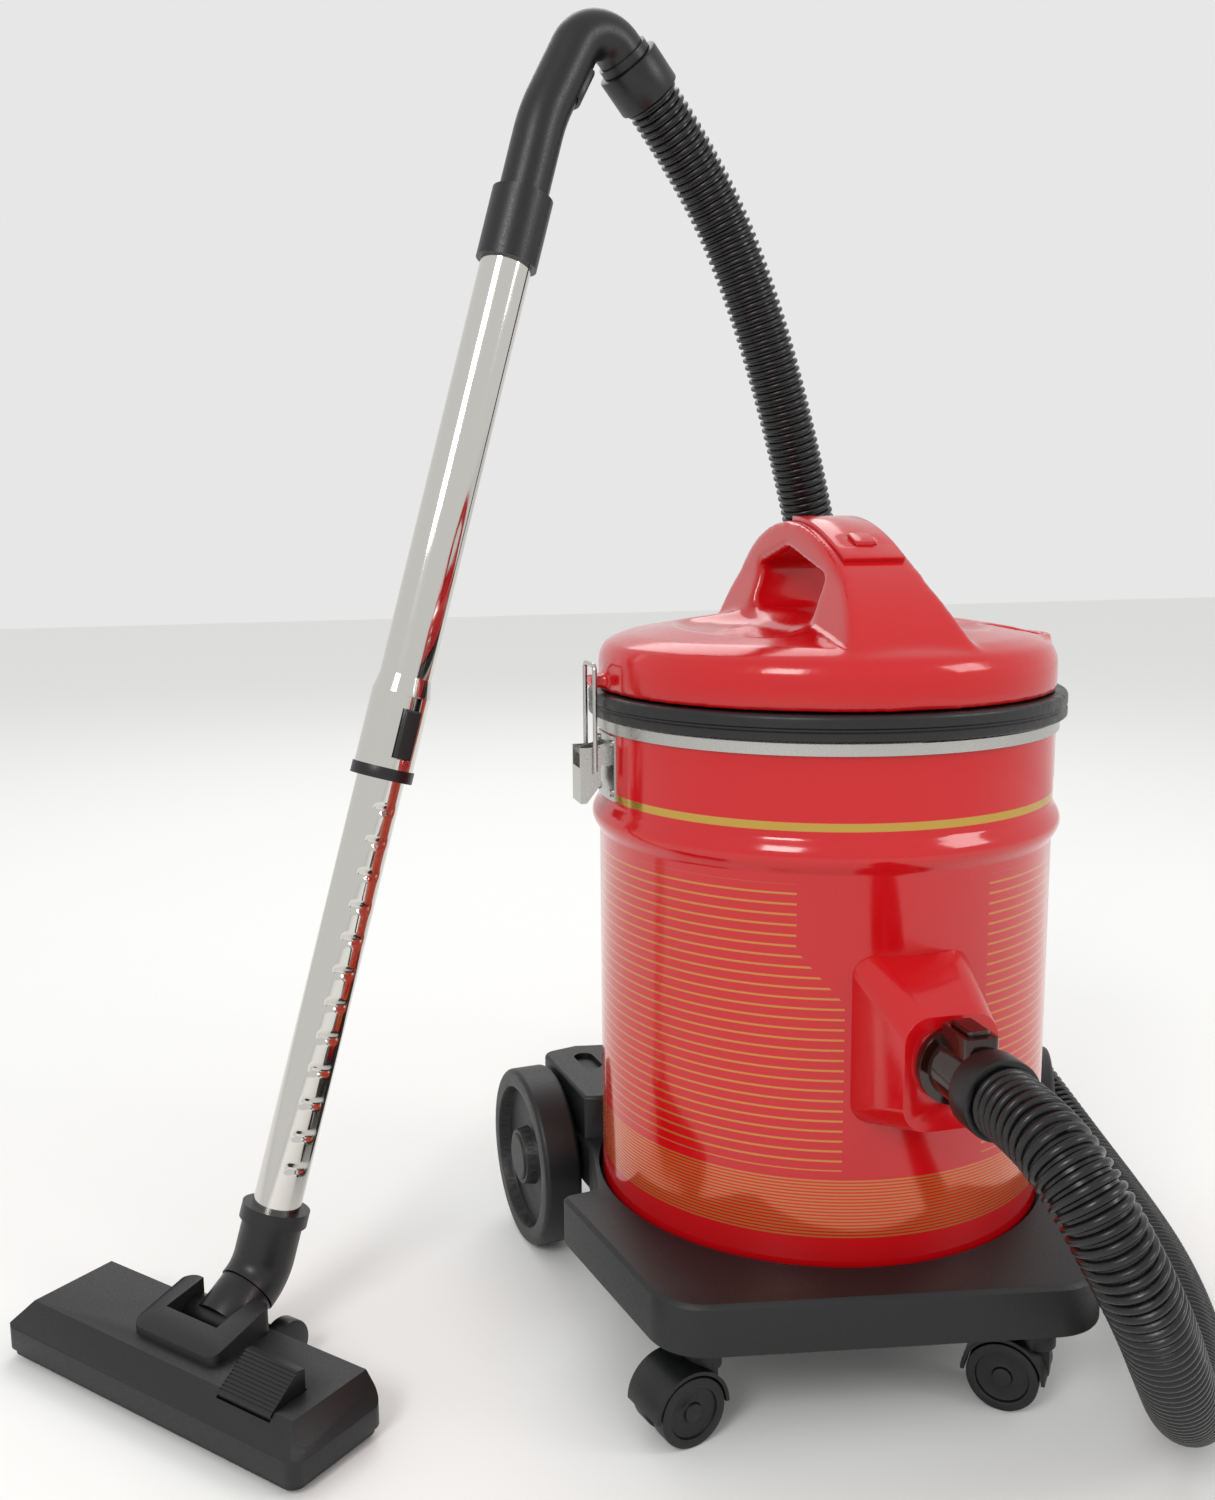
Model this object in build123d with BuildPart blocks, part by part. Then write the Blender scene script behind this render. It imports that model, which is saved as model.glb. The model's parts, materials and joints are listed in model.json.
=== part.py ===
from build123d import *
import math
import os

os.makedirs("parts", exist_ok=True)

# ------------------------------------------------------------------ clearances
FIT = 0.05            # radial, between pieces of one body that seat in each other
RUN = 0.08            # radial, a pin or shaft that turns or slides in its bore
GAP = 0.4             # between pieces that move past each other

# ------------------------------------------------------------------ driving dimensions, mm
DRUM_X = 149.24       # where the drum's axis stands
DRUM_Y = 28.09
TROLLEY_TURN = -9.5   # the drum stands turned in its trolley

DRUM_R = 150.0
DRUM_WALL = 1.2
DRUM_BASE = 84.0
DRUM_TOP = 416.0
BEAD_LOW = 339.0
BEAD_HIGH = 362.0
BEAD_PROUD = 5.0
BASE_CHAMFER = 6.0
RING_PROUD = 2.5
RING_R = DRUM_R + RING_PROUD
RING_LOW = 410.0
RING_HIGH = 418.0

DECK_BOTTOM = 66.0
DECK_TOP = 98.0
DECK_WALL = 4.0
DECK_AHEAD = 37.0     # deck past the drum's wall, to the front, rear and sides
DECK_BEHIND = 15.0
DECK_BESIDE = 32.0
DECK_FRONT = -(DRUM_R + DECK_AHEAD)
DECK_REAR = DRUM_R + DECK_BEHIND
DECK_HALF_FRONT = 129.0
DECK_HALF_WIDE = DRUM_R + DECK_BESIDE
DECK_CORNER = 36.0
RECESS_GAP = 3.0
HOUSING_TOP = 130.0

WHEEL_R = 65.6
WHEEL_W = 28.0
WHEEL_BESIDE = 25.0   # from the deck's side to the middle of the wheel
WHEEL_X = DECK_HALF_WIDE + WHEEL_BESIDE
WHEEL_Y = 93.0
WHEEL_SPLAY = 16.0
AXLE_R = 5.0
AXLE_SHOULDER = 2.6
HUB_CAP_R = 17.0

CASTER_X = 104.0
CASTER_Y = -150.0
CASTER_WHEEL_R = 22.0
CASTER_WHEEL_W = 13.0
CASTER_TRAIL = 17.0
CASTER_STEM_R = 4.0
CASTER_AXLE_R = 3.0

INLET_Z = 240.0
BOX_DEEP = 42.0
BOX_FRONT = DRUM_R + BOX_DEEP
BOX_WALL = 2.5
TUBE_R = 17.5         # inlet connector
TUBE_BORE = 15.0
CUFF_FACE = 250.0     # where the hose starts, in front of the drum's axis
HOSE_R = 20.0

BAND_PROUD = 7.0
BAND_R = DRUM_R + BAND_PROUD
BAND_HIGH = 434.0
SKIRT_HIGH = 456.0
LID_EDGE = 470.0
LID_TOP = 482.0
LID_WALL = 3.0
HANDLE_WIDE = 50.0
HANDLE_FOOT = 84.0
PORT_X = 118.0
PORT_Y = -38.0
PORT_R = 25.0
PORT_BORE = 19.0
PORT_TOP = 469.0
PORT_DEPTH = 20.0
BUTTON_SIDE = 14.0
BUTTON_TRAVEL = 2.0

LATCH_OUT = 15.0      # from the drum's wall to the lever's pivot
LATCH_X = DRUM_R + LATCH_OUT
LATCH_Z = 395.0
LEVER_HALF = 11.0
LEVER_WALL = 1.6
BAIL_OUT = 10.5
BAIL_X = DRUM_R + BAIL_OUT
BAIL_Z = 384.0
BAIL_TOP = 453.0
WIRE_R = 1.5
LUG_PROUD = 11.5
LUG_OUT = DRUM_R + LUG_PROUD
LUG_TOP = 446.0

MOTOR_R = 48.0
MOTOR_LOW = 426.0
MOTOR_HIGH = 462.0
CAGE_R = 82.0
CAGE_LOW = 306.0
TRAY_Z = 420.0
TRAY_T = 3.0
FAN_R = 60.0
SHAFT_R = 4.0
BEARING_R = 11.0

WAND_FOOT = (-370.8, 31.9)   # foot of the tube, from the drum's axis
WAND_ANGLE = 21.5
FLANGE_Z = 96.0
TUBE_LEAN = 17.45            # from the vertical
WAND_LENGTH = 690.0
LOWER_TUBE_R = 16.0
UPPER_TUBE_R = 17.5
SHEET = 1.0
COLLAR_AT = 292.0
COLLAR_R = 21.0
FLARE_R = 19.8
OVERLAP = 108.0
LOCK_TRAVEL = 8.0
HANDLE_PIPE_R = 17.0
HANDLE_PIPE_BORE = 14.0
CUFF_LENGTH = 28.0
CUFF_R = 23.0

NOZZLE_X = -431.6
NOZZLE_Y = -16.2
NOZZLE_ANGLE = -48.2
NOZZLE_LONG = 266.0
NOZZLE_DEEP = 75.0
NOZZLE_HIGH = 38.0
PIVOT_BACK = 30.0
PIVOT_Z = 33.1
NECK_RISE = 30.0
NECK_LONG = 40.0
NECK_R = 19.0
NECK_WHEEL_R = 16.0


# ------------------------------------------------------------------ planes and places
def at(x, y, z=0.0):
    """A point given from the foot of the drum's axis."""
    return Vector(DRUM_X + x, DRUM_Y + y, z)


def heading(angle):
    """A level unit vector, turned from +X."""
    return Vector(math.cos(math.radians(angle)), math.sin(math.radians(angle)), 0)


UP = Vector(0, 0, 1)
MACHINE = Plane(origin=at(0, 0))
SIDE = Plane(origin=at(0, 0), x_dir=(1, 0, 0), z_dir=(0, -1, 0))
END = Plane(origin=at(0, 0), x_dir=(0, 1, 0), z_dir=(1, 0, 0))
DRUM_AXIS = Axis(at(0, 0), (0, 0, 1))
TROLLEY = Plane(origin=at(0, 0), x_dir=heading(TROLLEY_TURN), z_dir=(0, 0, 1))

WAND_DIR = heading(WAND_ANGLE)
WAND = Plane(origin=at(*WAND_FOOT), x_dir=WAND_DIR, z_dir=WAND_DIR.cross(UP))
LEAN = math.radians(TUBE_LEAN)
TUBE_DIR = WAND_DIR * math.sin(LEAN) + UP * math.cos(LEAN)
TUBE_FOOT = WAND.from_local_coords((0, FLANGE_Z, 0))
TUBE = Plane(origin=TUBE_FOOT, x_dir=WAND.z_dir, z_dir=TUBE_DIR)

NOZZLE = Plane(origin=at(NOZZLE_X, NOZZLE_Y), x_dir=heading(NOZZLE_ANGLE), z_dir=(0, 0, 1))
NOZZLE_END = Plane(origin=NOZZLE.origin, x_dir=NOZZLE.y_dir, z_dir=NOZZLE.x_dir)
PIVOT = NOZZLE.from_local_coords((0, PIVOT_BACK, PIVOT_Z))
RISE = math.radians(NECK_RISE)
NECK_DIR = NOZZLE.y_dir * math.cos(RISE) + UP * math.sin(RISE)
ELBOW = PIVOT + NECK_DIR * NECK_LONG
NECK = Plane(origin=PIVOT, x_dir=NOZZLE.x_dir, z_dir=NECK_DIR)


def keep(piece, name):
    """Label a finished piece and write its file."""
    piece.part.label = name
    export_step(piece.part, f"parts/{name}.step")


SIDES = ((-1, "left"), (1, "right"))

# ------------------------------------------------------------------ trolley
RECESS_R = DRUM_R + RECESS_GAP
SPLAY = math.radians(WHEEL_SPLAY)
WHEEL_GAP = AXLE_SHOULDER + GAP
NOTCH_X = 159.0
NOTCH_Y = -32.0


def hub_plane(side):
    """Inner face of a rear wheel: z_dir outwards along its axle, x_dir up."""
    outward = TROLLEY.x_dir * (side * math.cos(SPLAY)) - TROLLEY.y_dir * math.sin(SPLAY)
    face = TROLLEY.from_local_coords((side * WHEEL_X, WHEEL_Y, WHEEL_R))
    return Plane(origin=face - outward * WHEEL_W, x_dir=(0, 0, 1), z_dir=outward)


def beside_wheel(along, inset=0.0):
    """A point of the deck's edge that runs along the right wheel's inner face."""
    back = WHEEL_W + WHEEL_GAP + inset
    x = WHEEL_X - back * math.cos(SPLAY) + along * math.sin(SPLAY)
    y = WHEEL_Y + back * math.sin(SPLAY) + along * math.cos(SPLAY)
    return (x, y)


with BuildSketch() as deck_plan:
    with BuildLine():
        Polyline(
            (0, DECK_FRONT),
            (DECK_HALF_FRONT, DECK_FRONT),
            (DECK_HALF_WIDE, -40),
            (NOTCH_X, NOTCH_Y),
            beside_wheel(-70),
            beside_wheel(42),
            (DECK_REAR, DECK_REAR),
            (0, DECK_REAR),
        )
        mirror(about=Plane.YZ)
    make_face()
    fillet(deck_plan.vertices().group_by(Axis.Y)[0], DECK_CORNER)
    fillet(deck_plan.vertices().filter_by_position(Axis.Y, -60, 60), 5)

with BuildSketch() as housing_plan:
    with BuildLine():
        Polyline(
            (120, 46),
            beside_wheel(-56, 2),
            beside_wheel(40, 2),
            (DECK_REAR - 5, DECK_REAR - 12),
            (70, DECK_REAR - 12),
            (60, 120),
            close=True,
        )
    make_face()
    fillet(housing_plan.vertices().group_by(Axis.X)[-1], 10)
    Circle(RECESS_R, mode=Mode.SUBTRACT)
    mirror(about=Plane.YZ)

BOSS_R = 13.0
BOSS_LONG = 40.0
SOCKET_R = 11.0
RECESS_FLOOR = DRUM_BASE

with BuildPart() as trolley_deck:
    with BuildSketch(TROLLEY.offset(DECK_BOTTOM)):
        add(deck_plan.sketch)
    extrude(amount=DECK_TOP - DECK_BOTTOM)
    chamfer(trolley_deck.faces().sort_by(Axis.Z)[-1].edges(), 2.5)
    with BuildSketch(TROLLEY.offset(DECK_BOTTOM)):
        add(deck_plan.sketch)
        offset(amount=-DECK_WALL, mode=Mode.REPLACE)
    extrude(amount=RECESS_FLOOR - DECK_WALL - DECK_BOTTOM, mode=Mode.SUBTRACT)
    with BuildSketch(TROLLEY.offset(RECESS_FLOOR - DECK_WALL)):
        add(deck_plan.sketch)
        offset(amount=-DECK_WALL, mode=Mode.REPLACE)
        Circle(RECESS_R + DECK_WALL, mode=Mode.SUBTRACT)
    extrude(amount=DECK_TOP - RECESS_FLOOR, mode=Mode.SUBTRACT)
    with BuildSketch(TROLLEY.offset(DECK_TOP - DECK_WALL)):
        add(housing_plan.sketch)
    extrude(amount=HOUSING_TOP - DECK_TOP + DECK_WALL)
    fillet(trolley_deck.faces().group_by(Axis.Z)[-1].edges(), 3)
    for turn in (30, 90, 150):
        with BuildSketch(TROLLEY.offset(DECK_BOTTOM)):
            with Locations(Location((0, 0, 0), (0, 0, turn))):
                Rectangle(2 * RECESS_R, 3)
        extrude(amount=RECESS_FLOOR - DECK_BOTTOM - 1)
    for side, name in SIDES:
        with BuildSketch(hub_plane(side).offset(-WHEEL_GAP)):
            Circle(BOSS_R)
            with Locations(((DECK_TOP - WHEEL_R) / 2 - 1, 0)):
                Rectangle(DECK_TOP - WHEEL_R - 2, 2 * BOSS_R)
        extrude(amount=-BOSS_LONG)
        with BuildSketch(TROLLEY.offset(DECK_BOTTOM)):
            with Locations((side * CASTER_X, CASTER_Y)):
                Circle(SOCKET_R)
        extrude(amount=DECK_TOP - DECK_WALL - DECK_BOTTOM + 1)
    with BuildSketch(TROLLEY.offset(RECESS_FLOOR)):
        Circle(RECESS_R)
    extrude(amount=HOUSING_TOP, mode=Mode.SUBTRACT)
    for side, name in SIDES:
        with BuildSketch(hub_plane(side)):
            Circle(AXLE_R + FIT)
        extrude(amount=-BOSS_LONG - WHEEL_GAP + 4, mode=Mode.SUBTRACT)
        with BuildSketch(TROLLEY.offset(DECK_BOTTOM)):
            with Locations((side * CASTER_X, CASTER_Y)):
                Circle(CASTER_STEM_R + RUN)
        extrude(amount=DECK_TOP - DECK_WALL - DECK_BOTTOM, mode=Mode.SUBTRACT)
        with BuildSketch(TROLLEY.offset(HOUSING_TOP - 4)):
            with Locations(Location((side * 152, 118, 0), (0, 0, -side * WHEEL_SPLAY))):
                SlotOverall(34, 15, rotation=90)
        extrude(amount=4, mode=Mode.SUBTRACT)
keep(trolley_deck, "trolley_deck")

HUB_DEPTH = 8.0
AXLE_END = WHEEL_W - HUB_DEPTH - 1.0

with BuildPart() as wheel_axles:
    for side, name in SIDES:
        with BuildSketch(hub_plane(side).offset(-WHEEL_GAP - BOSS_LONG + 5)):
            Circle(AXLE_R)
        extrude(amount=BOSS_LONG - 5 + WHEEL_GAP + AXLE_END)
        with BuildSketch(hub_plane(side).offset(-WHEEL_GAP)):
            Circle(AXLE_R + 3)
        extrude(amount=AXLE_SHOULDER)
keep(wheel_axles, "wheel_axles")

for side, name in SIDES:
    hub = hub_plane(side)
    with BuildPart() as rear_wheel:
        with BuildSketch(hub):
            Circle(WHEEL_R)
        extrude(amount=WHEEL_W)
        fillet(rear_wheel.edges(), 4)
        with BuildSketch(hub.offset(WHEEL_W)):
            Circle(WHEEL_R - 13)
            Circle(HUB_CAP_R + 3, mode=Mode.SUBTRACT)
        extrude(amount=-9, mode=Mode.SUBTRACT, taper=12)
        with BuildSketch(hub):
            Circle(WHEEL_R - 13)
            Circle(HUB_CAP_R + 3, mode=Mode.SUBTRACT)
        extrude(amount=12, mode=Mode.SUBTRACT, taper=12)
        with BuildSketch(hub.offset(WHEEL_W)):
            Circle(HUB_CAP_R + FIT)
        extrude(amount=-HUB_DEPTH, mode=Mode.SUBTRACT)
        with BuildSketch(hub):
            Circle(AXLE_R + RUN)
        extrude(amount=WHEEL_W, mode=Mode.SUBTRACT)
    keep(rear_wheel, f"rear_wheel_{name}")

    with BuildPart() as hub_cap:
        with BuildSketch(hub.offset(WHEEL_W - HUB_DEPTH)):
            Circle(HUB_CAP_R)
        extrude(amount=HUB_DEPTH + 1.5)
        fillet(hub_cap.faces().sort_by(Axis(hub.origin, hub.z_dir))[-1].edges(), 2)
        with BuildSketch(hub.offset(WHEEL_W - HUB_DEPTH)):
            Circle(HUB_CAP_R - 3)
        extrude(amount=5, mode=Mode.SUBTRACT)
    keep(hub_cap, f"hub_cap_{name}")

# ------------------------------------------------------------------ casters
CASTER_BODY = 8.0     # thickness between the twin wheels
CASTER_TURN = {-1: 205.0, 1: 150.0}
HOOD_R = CASTER_WHEEL_R + 3.5
HOOD_TOP = DECK_BOTTOM - GAP

for side, name in SIDES:
    pivot = TROLLEY.from_local_coords((side * CASTER_X, CASTER_Y, 0))
    trail = heading(TROLLEY_TURN + CASTER_TURN[side])
    roll = Plane(origin=pivot + trail * CASTER_TRAIL + UP * CASTER_WHEEL_R,
                 x_dir=trail, z_dir=trail.cross(UP))
    with BuildPart() as caster_fork:
        with BuildSketch(roll.offset(-CASTER_BODY / 2)):
            Circle(CASTER_WHEEL_R - 3)
            with Locations((-CASTER_TRAIL, CASTER_WHEEL_R)):
                Rectangle(18, HOOD_TOP - 2 * CASTER_WHEEL_R + CASTER_WHEEL_R)
        extrude(amount=CASTER_BODY)
        with BuildSketch(roll.offset(-CASTER_BODY / 2 - CASTER_WHEEL_W)):
            Circle(HOOD_R)
            Circle(CASTER_WHEEL_R + 1.2, mode=Mode.SUBTRACT)
            with Locations((0, -HOOD_R)):
                Rectangle(2 * HOOD_R, 2 * HOOD_R, mode=Mode.SUBTRACT)
        extrude(amount=CASTER_BODY + 2 * CASTER_WHEEL_W)
        with BuildSketch(Plane(origin=pivot + UP * (2 * CASTER_WHEEL_R - 3))):
            Circle(12)
        extrude(amount=HOOD_TOP - 2 * CASTER_WHEEL_R + 3)
        with BuildSketch(Plane(origin=pivot + UP * (HOOD_TOP - 1))):
            Circle(CASTER_STEM_R)
        extrude(amount=DECK_TOP - DECK_WALL - GAP - HOOD_TOP - 1)
        for flank in (-1, 1):
            with BuildSketch(roll.offset(flank * (CASTER_BODY / 2 + GAP))):
                Circle(CASTER_WHEEL_R + 1.2)
            extrude(amount=flank * (CASTER_WHEEL_W + 4), mode=Mode.SUBTRACT)
        with BuildSketch(roll.offset(-CASTER_BODY)):
            Circle(CASTER_AXLE_R + RUN)
        extrude(amount=2 * CASTER_BODY, mode=Mode.SUBTRACT)
    keep(caster_fork, f"caster_fork_{name}")

    with BuildPart() as caster_wheels:
        with BuildSketch(roll.offset(-CASTER_BODY / 2 - GAP - 2)):
            Circle(CASTER_AXLE_R)
        extrude(amount=CASTER_BODY + 2 * GAP + 4)
        for flank in (-1, 1):
            with BuildSketch(roll.offset(flank * (CASTER_BODY / 2 + 2 * GAP))):
                Circle(CASTER_WHEEL_R)
            extrude(amount=flank * (CASTER_WHEEL_W - GAP))
            with BuildSketch(roll.offset(flank * (CASTER_BODY / 2 + GAP + CASTER_WHEEL_W))):
                Circle(CASTER_WHEEL_R - 6)
                Circle(6, mode=Mode.SUBTRACT)
            extrude(amount=-flank * 2.5, mode=Mode.SUBTRACT)
    keep(caster_wheels, f"caster_wheels_{name}")

# ------------------------------------------------------------------ drum


def drum_side(inset):
    """Half section of the drum's wall, from the centre of the base to the rim."""
    r = DRUM_R - inset
    return [
        (0, DRUM_BASE + inset),
        (r - BASE_CHAMFER, DRUM_BASE + inset),
        (r, DRUM_BASE + inset + BASE_CHAMFER),
        (r, BEAD_LOW),
        (r + BEAD_PROUD, BEAD_LOW + BEAD_PROUD),
        (r + BEAD_PROUD, BEAD_HIGH - BEAD_PROUD),
        (r, BEAD_HIGH),
        (r, DRUM_TOP),
    ]


DRUM_HOLE_R = 20.0

with BuildPart() as drum_shell:
    with BuildSketch(SIDE):
        with BuildLine():
            Polyline(*drum_side(0), *reversed(drum_side(DRUM_WALL)), close=True)
        make_face()
    revolve(axis=DRUM_AXIS)
    with BuildSketch(SIDE):
        with Locations((0, INLET_Z)):
            Circle(DRUM_HOLE_R)
    extrude(amount=2 * DRUM_R, mode=Mode.SUBTRACT)
keep(drum_shell, "drum_shell")

with BuildPart() as drum_rim_ring:
    with BuildSketch(MACHINE.offset(RING_LOW)):
        Circle(RING_R)
        Circle(DRUM_R + FIT, mode=Mode.SUBTRACT)
    extrude(amount=DRUM_TOP - RING_LOW)
    with BuildSketch(MACHINE.offset(DRUM_TOP)):
        Circle(RING_R)
        Circle(DRUM_R - DRUM_WALL - 1.3, mode=Mode.SUBTRACT)
    extrude(amount=RING_HIGH - DRUM_TOP)
    fillet(drum_rim_ring.edges().group_by(Axis.Z)[-1].sort_by(SortBy.LENGTH)[-1], 1.2)
keep(drum_rim_ring, "drum_rim_ring")

# ------------------------------------------------------------------ inlet
with BuildPart() as inlet_box:
    with BuildSketch(SIDE.offset(DRUM_R - 14)):
        with Locations((-3, INLET_Z + 1.5)):
            RectangleRounded(78, 113, 14)
    with BuildSketch(SIDE.offset(BOX_FRONT)):
        with Locations((0, INLET_Z - 6)):
            RectangleRounded(58, 68, 16)
    loft()
    with BuildSketch(SIDE.offset(DRUM_R - 14)):
        with Locations((-3, INLET_Z + 1.5)):
            RectangleRounded(78 - 2 * BOX_WALL, 113 - 2 * BOX_WALL, 14 - BOX_WALL)
    with BuildSketch(SIDE.offset(BOX_FRONT - BOX_WALL)):
        with Locations((0, INLET_Z - 6)):
            RectangleRounded(58 - 2 * BOX_WALL, 68 - 2 * BOX_WALL, 16 - BOX_WALL)
    loft(mode=Mode.SUBTRACT)
    with BuildSketch(SIDE.offset(DRUM_R)):
        with Locations((0, INLET_Z)):
            Circle(TUBE_R + FIT)
    extrude(amount=BOX_FRONT, mode=Mode.SUBTRACT)
    with BuildSketch(MACHINE):
        Circle(DRUM_R + FIT)
    extrude(amount=DRUM_TOP, mode=Mode.SUBTRACT)
keep(inlet_box, "inlet_box")

with BuildPart() as inlet_gasket:
    with BuildSketch(SIDE.offset(BOX_FRONT - BOX_WALL)):
        with Locations((0, INLET_Z)):
            Circle(TUBE_R + 4.5)
            Circle(TUBE_R + FIT, mode=Mode.SUBTRACT)
    extrude(amount=-3)
keep(inlet_gasket, "inlet_gasket")

CHUTE_R = DRUM_HOLE_R - 0.5

with BuildPart() as inlet_deflector:
    with BuildSketch(SIDE.offset(DRUM_R - 34)):
        with Locations((0, INLET_Z)):
            Circle(CHUTE_R)
    extrude(amount=38)
    with BuildSketch(SIDE.offset(DRUM_R - 32)):
        with Locations((0, INLET_Z)):
            Circle(CHUTE_R - 2)
    extrude(amount=40, mode=Mode.SUBTRACT)
    with BuildSketch(SIDE.offset(DRUM_R - 32)):
        with Locations((0, INLET_Z - CHUTE_R)):
            Rectangle(3 * CHUTE_R, 1.4 * CHUTE_R)
    extrude(amount=22, mode=Mode.SUBTRACT)
keep(inlet_deflector, "inlet_deflector")

BUTTON_PAD = 9.0      # height of the release button's housing above the tube

with BuildPart() as inlet_connector:
    with BuildSketch(SIDE.offset(BOX_FRONT - 8)):
        with Locations((0, INLET_Z)):
            Circle(TUBE_R)
    extrude(amount=CUFF_FACE - BOX_FRONT + 8)
    with BuildSketch(SIDE.offset(BOX_FRONT)):
        with Locations((0, INLET_Z)):
            Circle(TUBE_R + 5)
    extrude(amount=6)
    with BuildSketch(MACHINE.offset(INLET_Z)):
        with Locations((0, -BOX_FRONT - 20)):
            RectangleRounded(20, 32, 4)
    extrude(amount=TUBE_R + BUTTON_PAD)
    with BuildSketch(MACHINE.offset(INLET_Z + TUBE_R + 2)):
        with Locations((0, -BOX_FRONT - 20)):
            RectangleRounded(13 + 2 * GAP, 23 + 2 * GAP, 3)
    extrude(amount=BUTTON_PAD, mode=Mode.SUBTRACT)
    with BuildSketch(SIDE.offset(BOX_FRONT - 10)):
        with Locations((0, INLET_Z)):
            Circle(TUBE_BORE)
    extrude(amount=CUFF_FACE, mode=Mode.SUBTRACT)
keep(inlet_connector, "inlet_connector")

with BuildPart() as connector_button:
    with BuildSketch(MACHINE.offset(INLET_Z + TUBE_R + 5)):
        with Locations((0, -BOX_FRONT - 20)):
            RectangleRounded(13, 23, 2.6)
    extrude(amount=BUTTON_PAD - 2)
    fillet(connector_button.edges().group_by(Axis.Z)[-1], 1.2)
keep(connector_button, "connector_button")

with BuildPart() as hose_cuff_drum:
    with BuildSketch(SIDE.offset(CUFF_FACE - 20)):
        with Locations((0, INLET_Z)):
            Circle(CUFF_R)
            Circle(TUBE_R + FIT, mode=Mode.SUBTRACT)
    extrude(amount=20)
    fillet(hose_cuff_drum.edges().group_by(Axis.Y)[-1].sort_by(SortBy.LENGTH)[-1], 3)
keep(hose_cuff_drum, "hose_cuff_drum")

# ------------------------------------------------------------------ head
HANDLE_TOP = [(-144, 456), (-118, 486), (-66, 523), (2, 542), (58, 532), (94, 506), (108, 470)]
LOOP_FRONT = -62.0
LOOP_REAR = 48.0
LOOP_FLOOR = 484.0
LOOP_ROOF = 525.0
PAD_PROUD = 3.0
PAD_WIDE = 40.0

with BuildSketch() as arch_face:
    with BuildLine() as arch_line:
        arch_top = Spline(*HANDLE_TOP)
        Polyline(arch_top @ 1, (104, 450), (-134, 450), arch_top @ 0)
    make_face()

with BuildPart() as handle_arch:
    with BuildSketch(END):
        add(arch_face.sketch)
        with BuildLine():
            Polyline(
                (LOOP_FRONT, LOOP_FLOOR),
                (LOOP_REAR, LOOP_FLOOR),
                (LOOP_REAR + 4, LOOP_ROOF - 12),
                (2, LOOP_ROOF),
                (LOOP_FRONT + 2, LOOP_ROOF - 17),
                close=True,
            )
        make_face(mode=Mode.SUBTRACT)
    extrude(amount=HANDLE_FOOT / 2, both=True)
    with BuildSketch(SIDE):
        with BuildLine():
            Polyline(
                (-HANDLE_FOOT / 2, 440),
                (HANDLE_FOOT / 2, 440),
                (HANDLE_FOOT / 2, LID_EDGE - 6),
                (HANDLE_WIDE / 2 + 2, 506),
                (HANDLE_WIDE / 2, 560),
                (-HANDLE_WIDE / 2, 560),
                (-HANDLE_WIDE / 2 - 2, 506),
                (-HANDLE_FOOT / 2, LID_EDGE - 6),
                close=True,
            )
        make_face()
    extrude(amount=DRUM_R + 5, both=True, mode=Mode.INTERSECT)


def lid_side(inset):
    """Half section of the lid's outside, or of the cavity under its wall."""
    r = DRUM_R - inset
    return [
        (r, SKIRT_HIGH),
        (r - 4, SKIRT_HIGH + 8 - inset / 2),
        (r - 10, LID_EDGE - 3 - inset),
        (r - 18, LID_EDGE - inset),
        (r - 70, LID_TOP - 3 - inset),
        (0, LID_TOP - inset),
    ]


with BuildPart() as head_cover:
    with BuildSketch(SIDE):
        with BuildLine():
            Polyline((0, BAND_HIGH), (DRUM_R, BAND_HIGH), *lid_side(0), close=True)
        make_face()
    revolve(axis=DRUM_AXIS)
    add(handle_arch.part)
    with BuildSketch(MACHINE.offset(BAND_HIGH)):
        with Locations((PORT_X, PORT_Y)):
            Circle(PORT_R)
    extrude(amount=PORT_TOP - BAND_HIGH)
    with BuildSketch(SIDE):
        with BuildLine():
            Polyline((0, BAND_HIGH), (DRUM_R - LID_WALL, BAND_HIGH), *lid_side(LID_WALL), close=True)
        make_face()
    revolve(axis=DRUM_AXIS, mode=Mode.SUBTRACT)
    with BuildSketch(MACHINE.offset(PORT_TOP - PORT_DEPTH)):
        with Locations((PORT_X, PORT_Y)):
            Circle(PORT_BORE + 3)
        Circle(DRUM_R - LID_WALL / 2, mode=Mode.INTERSECT)
    extrude(amount=PORT_DEPTH)
    with BuildSketch(MACHINE.offset(BAND_HIGH)):
        with Locations((PORT_X, PORT_Y)):
            Circle(PORT_BORE)
    extrude(amount=PORT_TOP, mode=Mode.SUBTRACT)
    for side, name in SIDES:
        with BuildSketch(MACHINE.offset(LUG_TOP - 8)):
            with Locations((side * (DRUM_R - LID_WALL / 2 + LUG_OUT) / 2, 0)):
                Rectangle(LUG_OUT - DRUM_R + LID_WALL / 2, 18)
        extrude(amount=8)
    button_seat = Plane(
        origin=END.from_local_coords(arch_top @ 0.36),
        x_dir=(1, 0, 0),
        z_dir=END.from_local_coords(arch_top @ 0.36 + (arch_top % 0.36).rotate(Axis.Z, 90))
        - END.from_local_coords(arch_top @ 0.36),
    )
    with BuildSketch(button_seat.offset(-10)):
        Rectangle(BUTTON_SIDE + 2 * GAP, BUTTON_SIDE + 2 * GAP)
    extrude(amount=20, mode=Mode.SUBTRACT)
    with BuildSketch(SIDE.offset(-DRUM_R - 2)):
        with Locations((0, 446)):
            Circle(7 + FIT)
    extrude(amount=10, mode=Mode.SUBTRACT)
keep(head_cover, "head_cover")

PAD_FROM = 0.29       # share of the handle's top curve where the pad starts and ends
PAD_TO = 0.57
PAD_STEPS = 5
PAD_DEEP = 8.0


def above_arch(share, height):
    """A point at a height square to the handle's top curve."""
    return arch_top @ share + (arch_top % share).rotate(Axis.Z, 90) * height


pad_shares = [PAD_FROM + (PAD_TO - PAD_FROM) * step / (PAD_STEPS - 1) for step in range(PAD_STEPS)]

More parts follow.
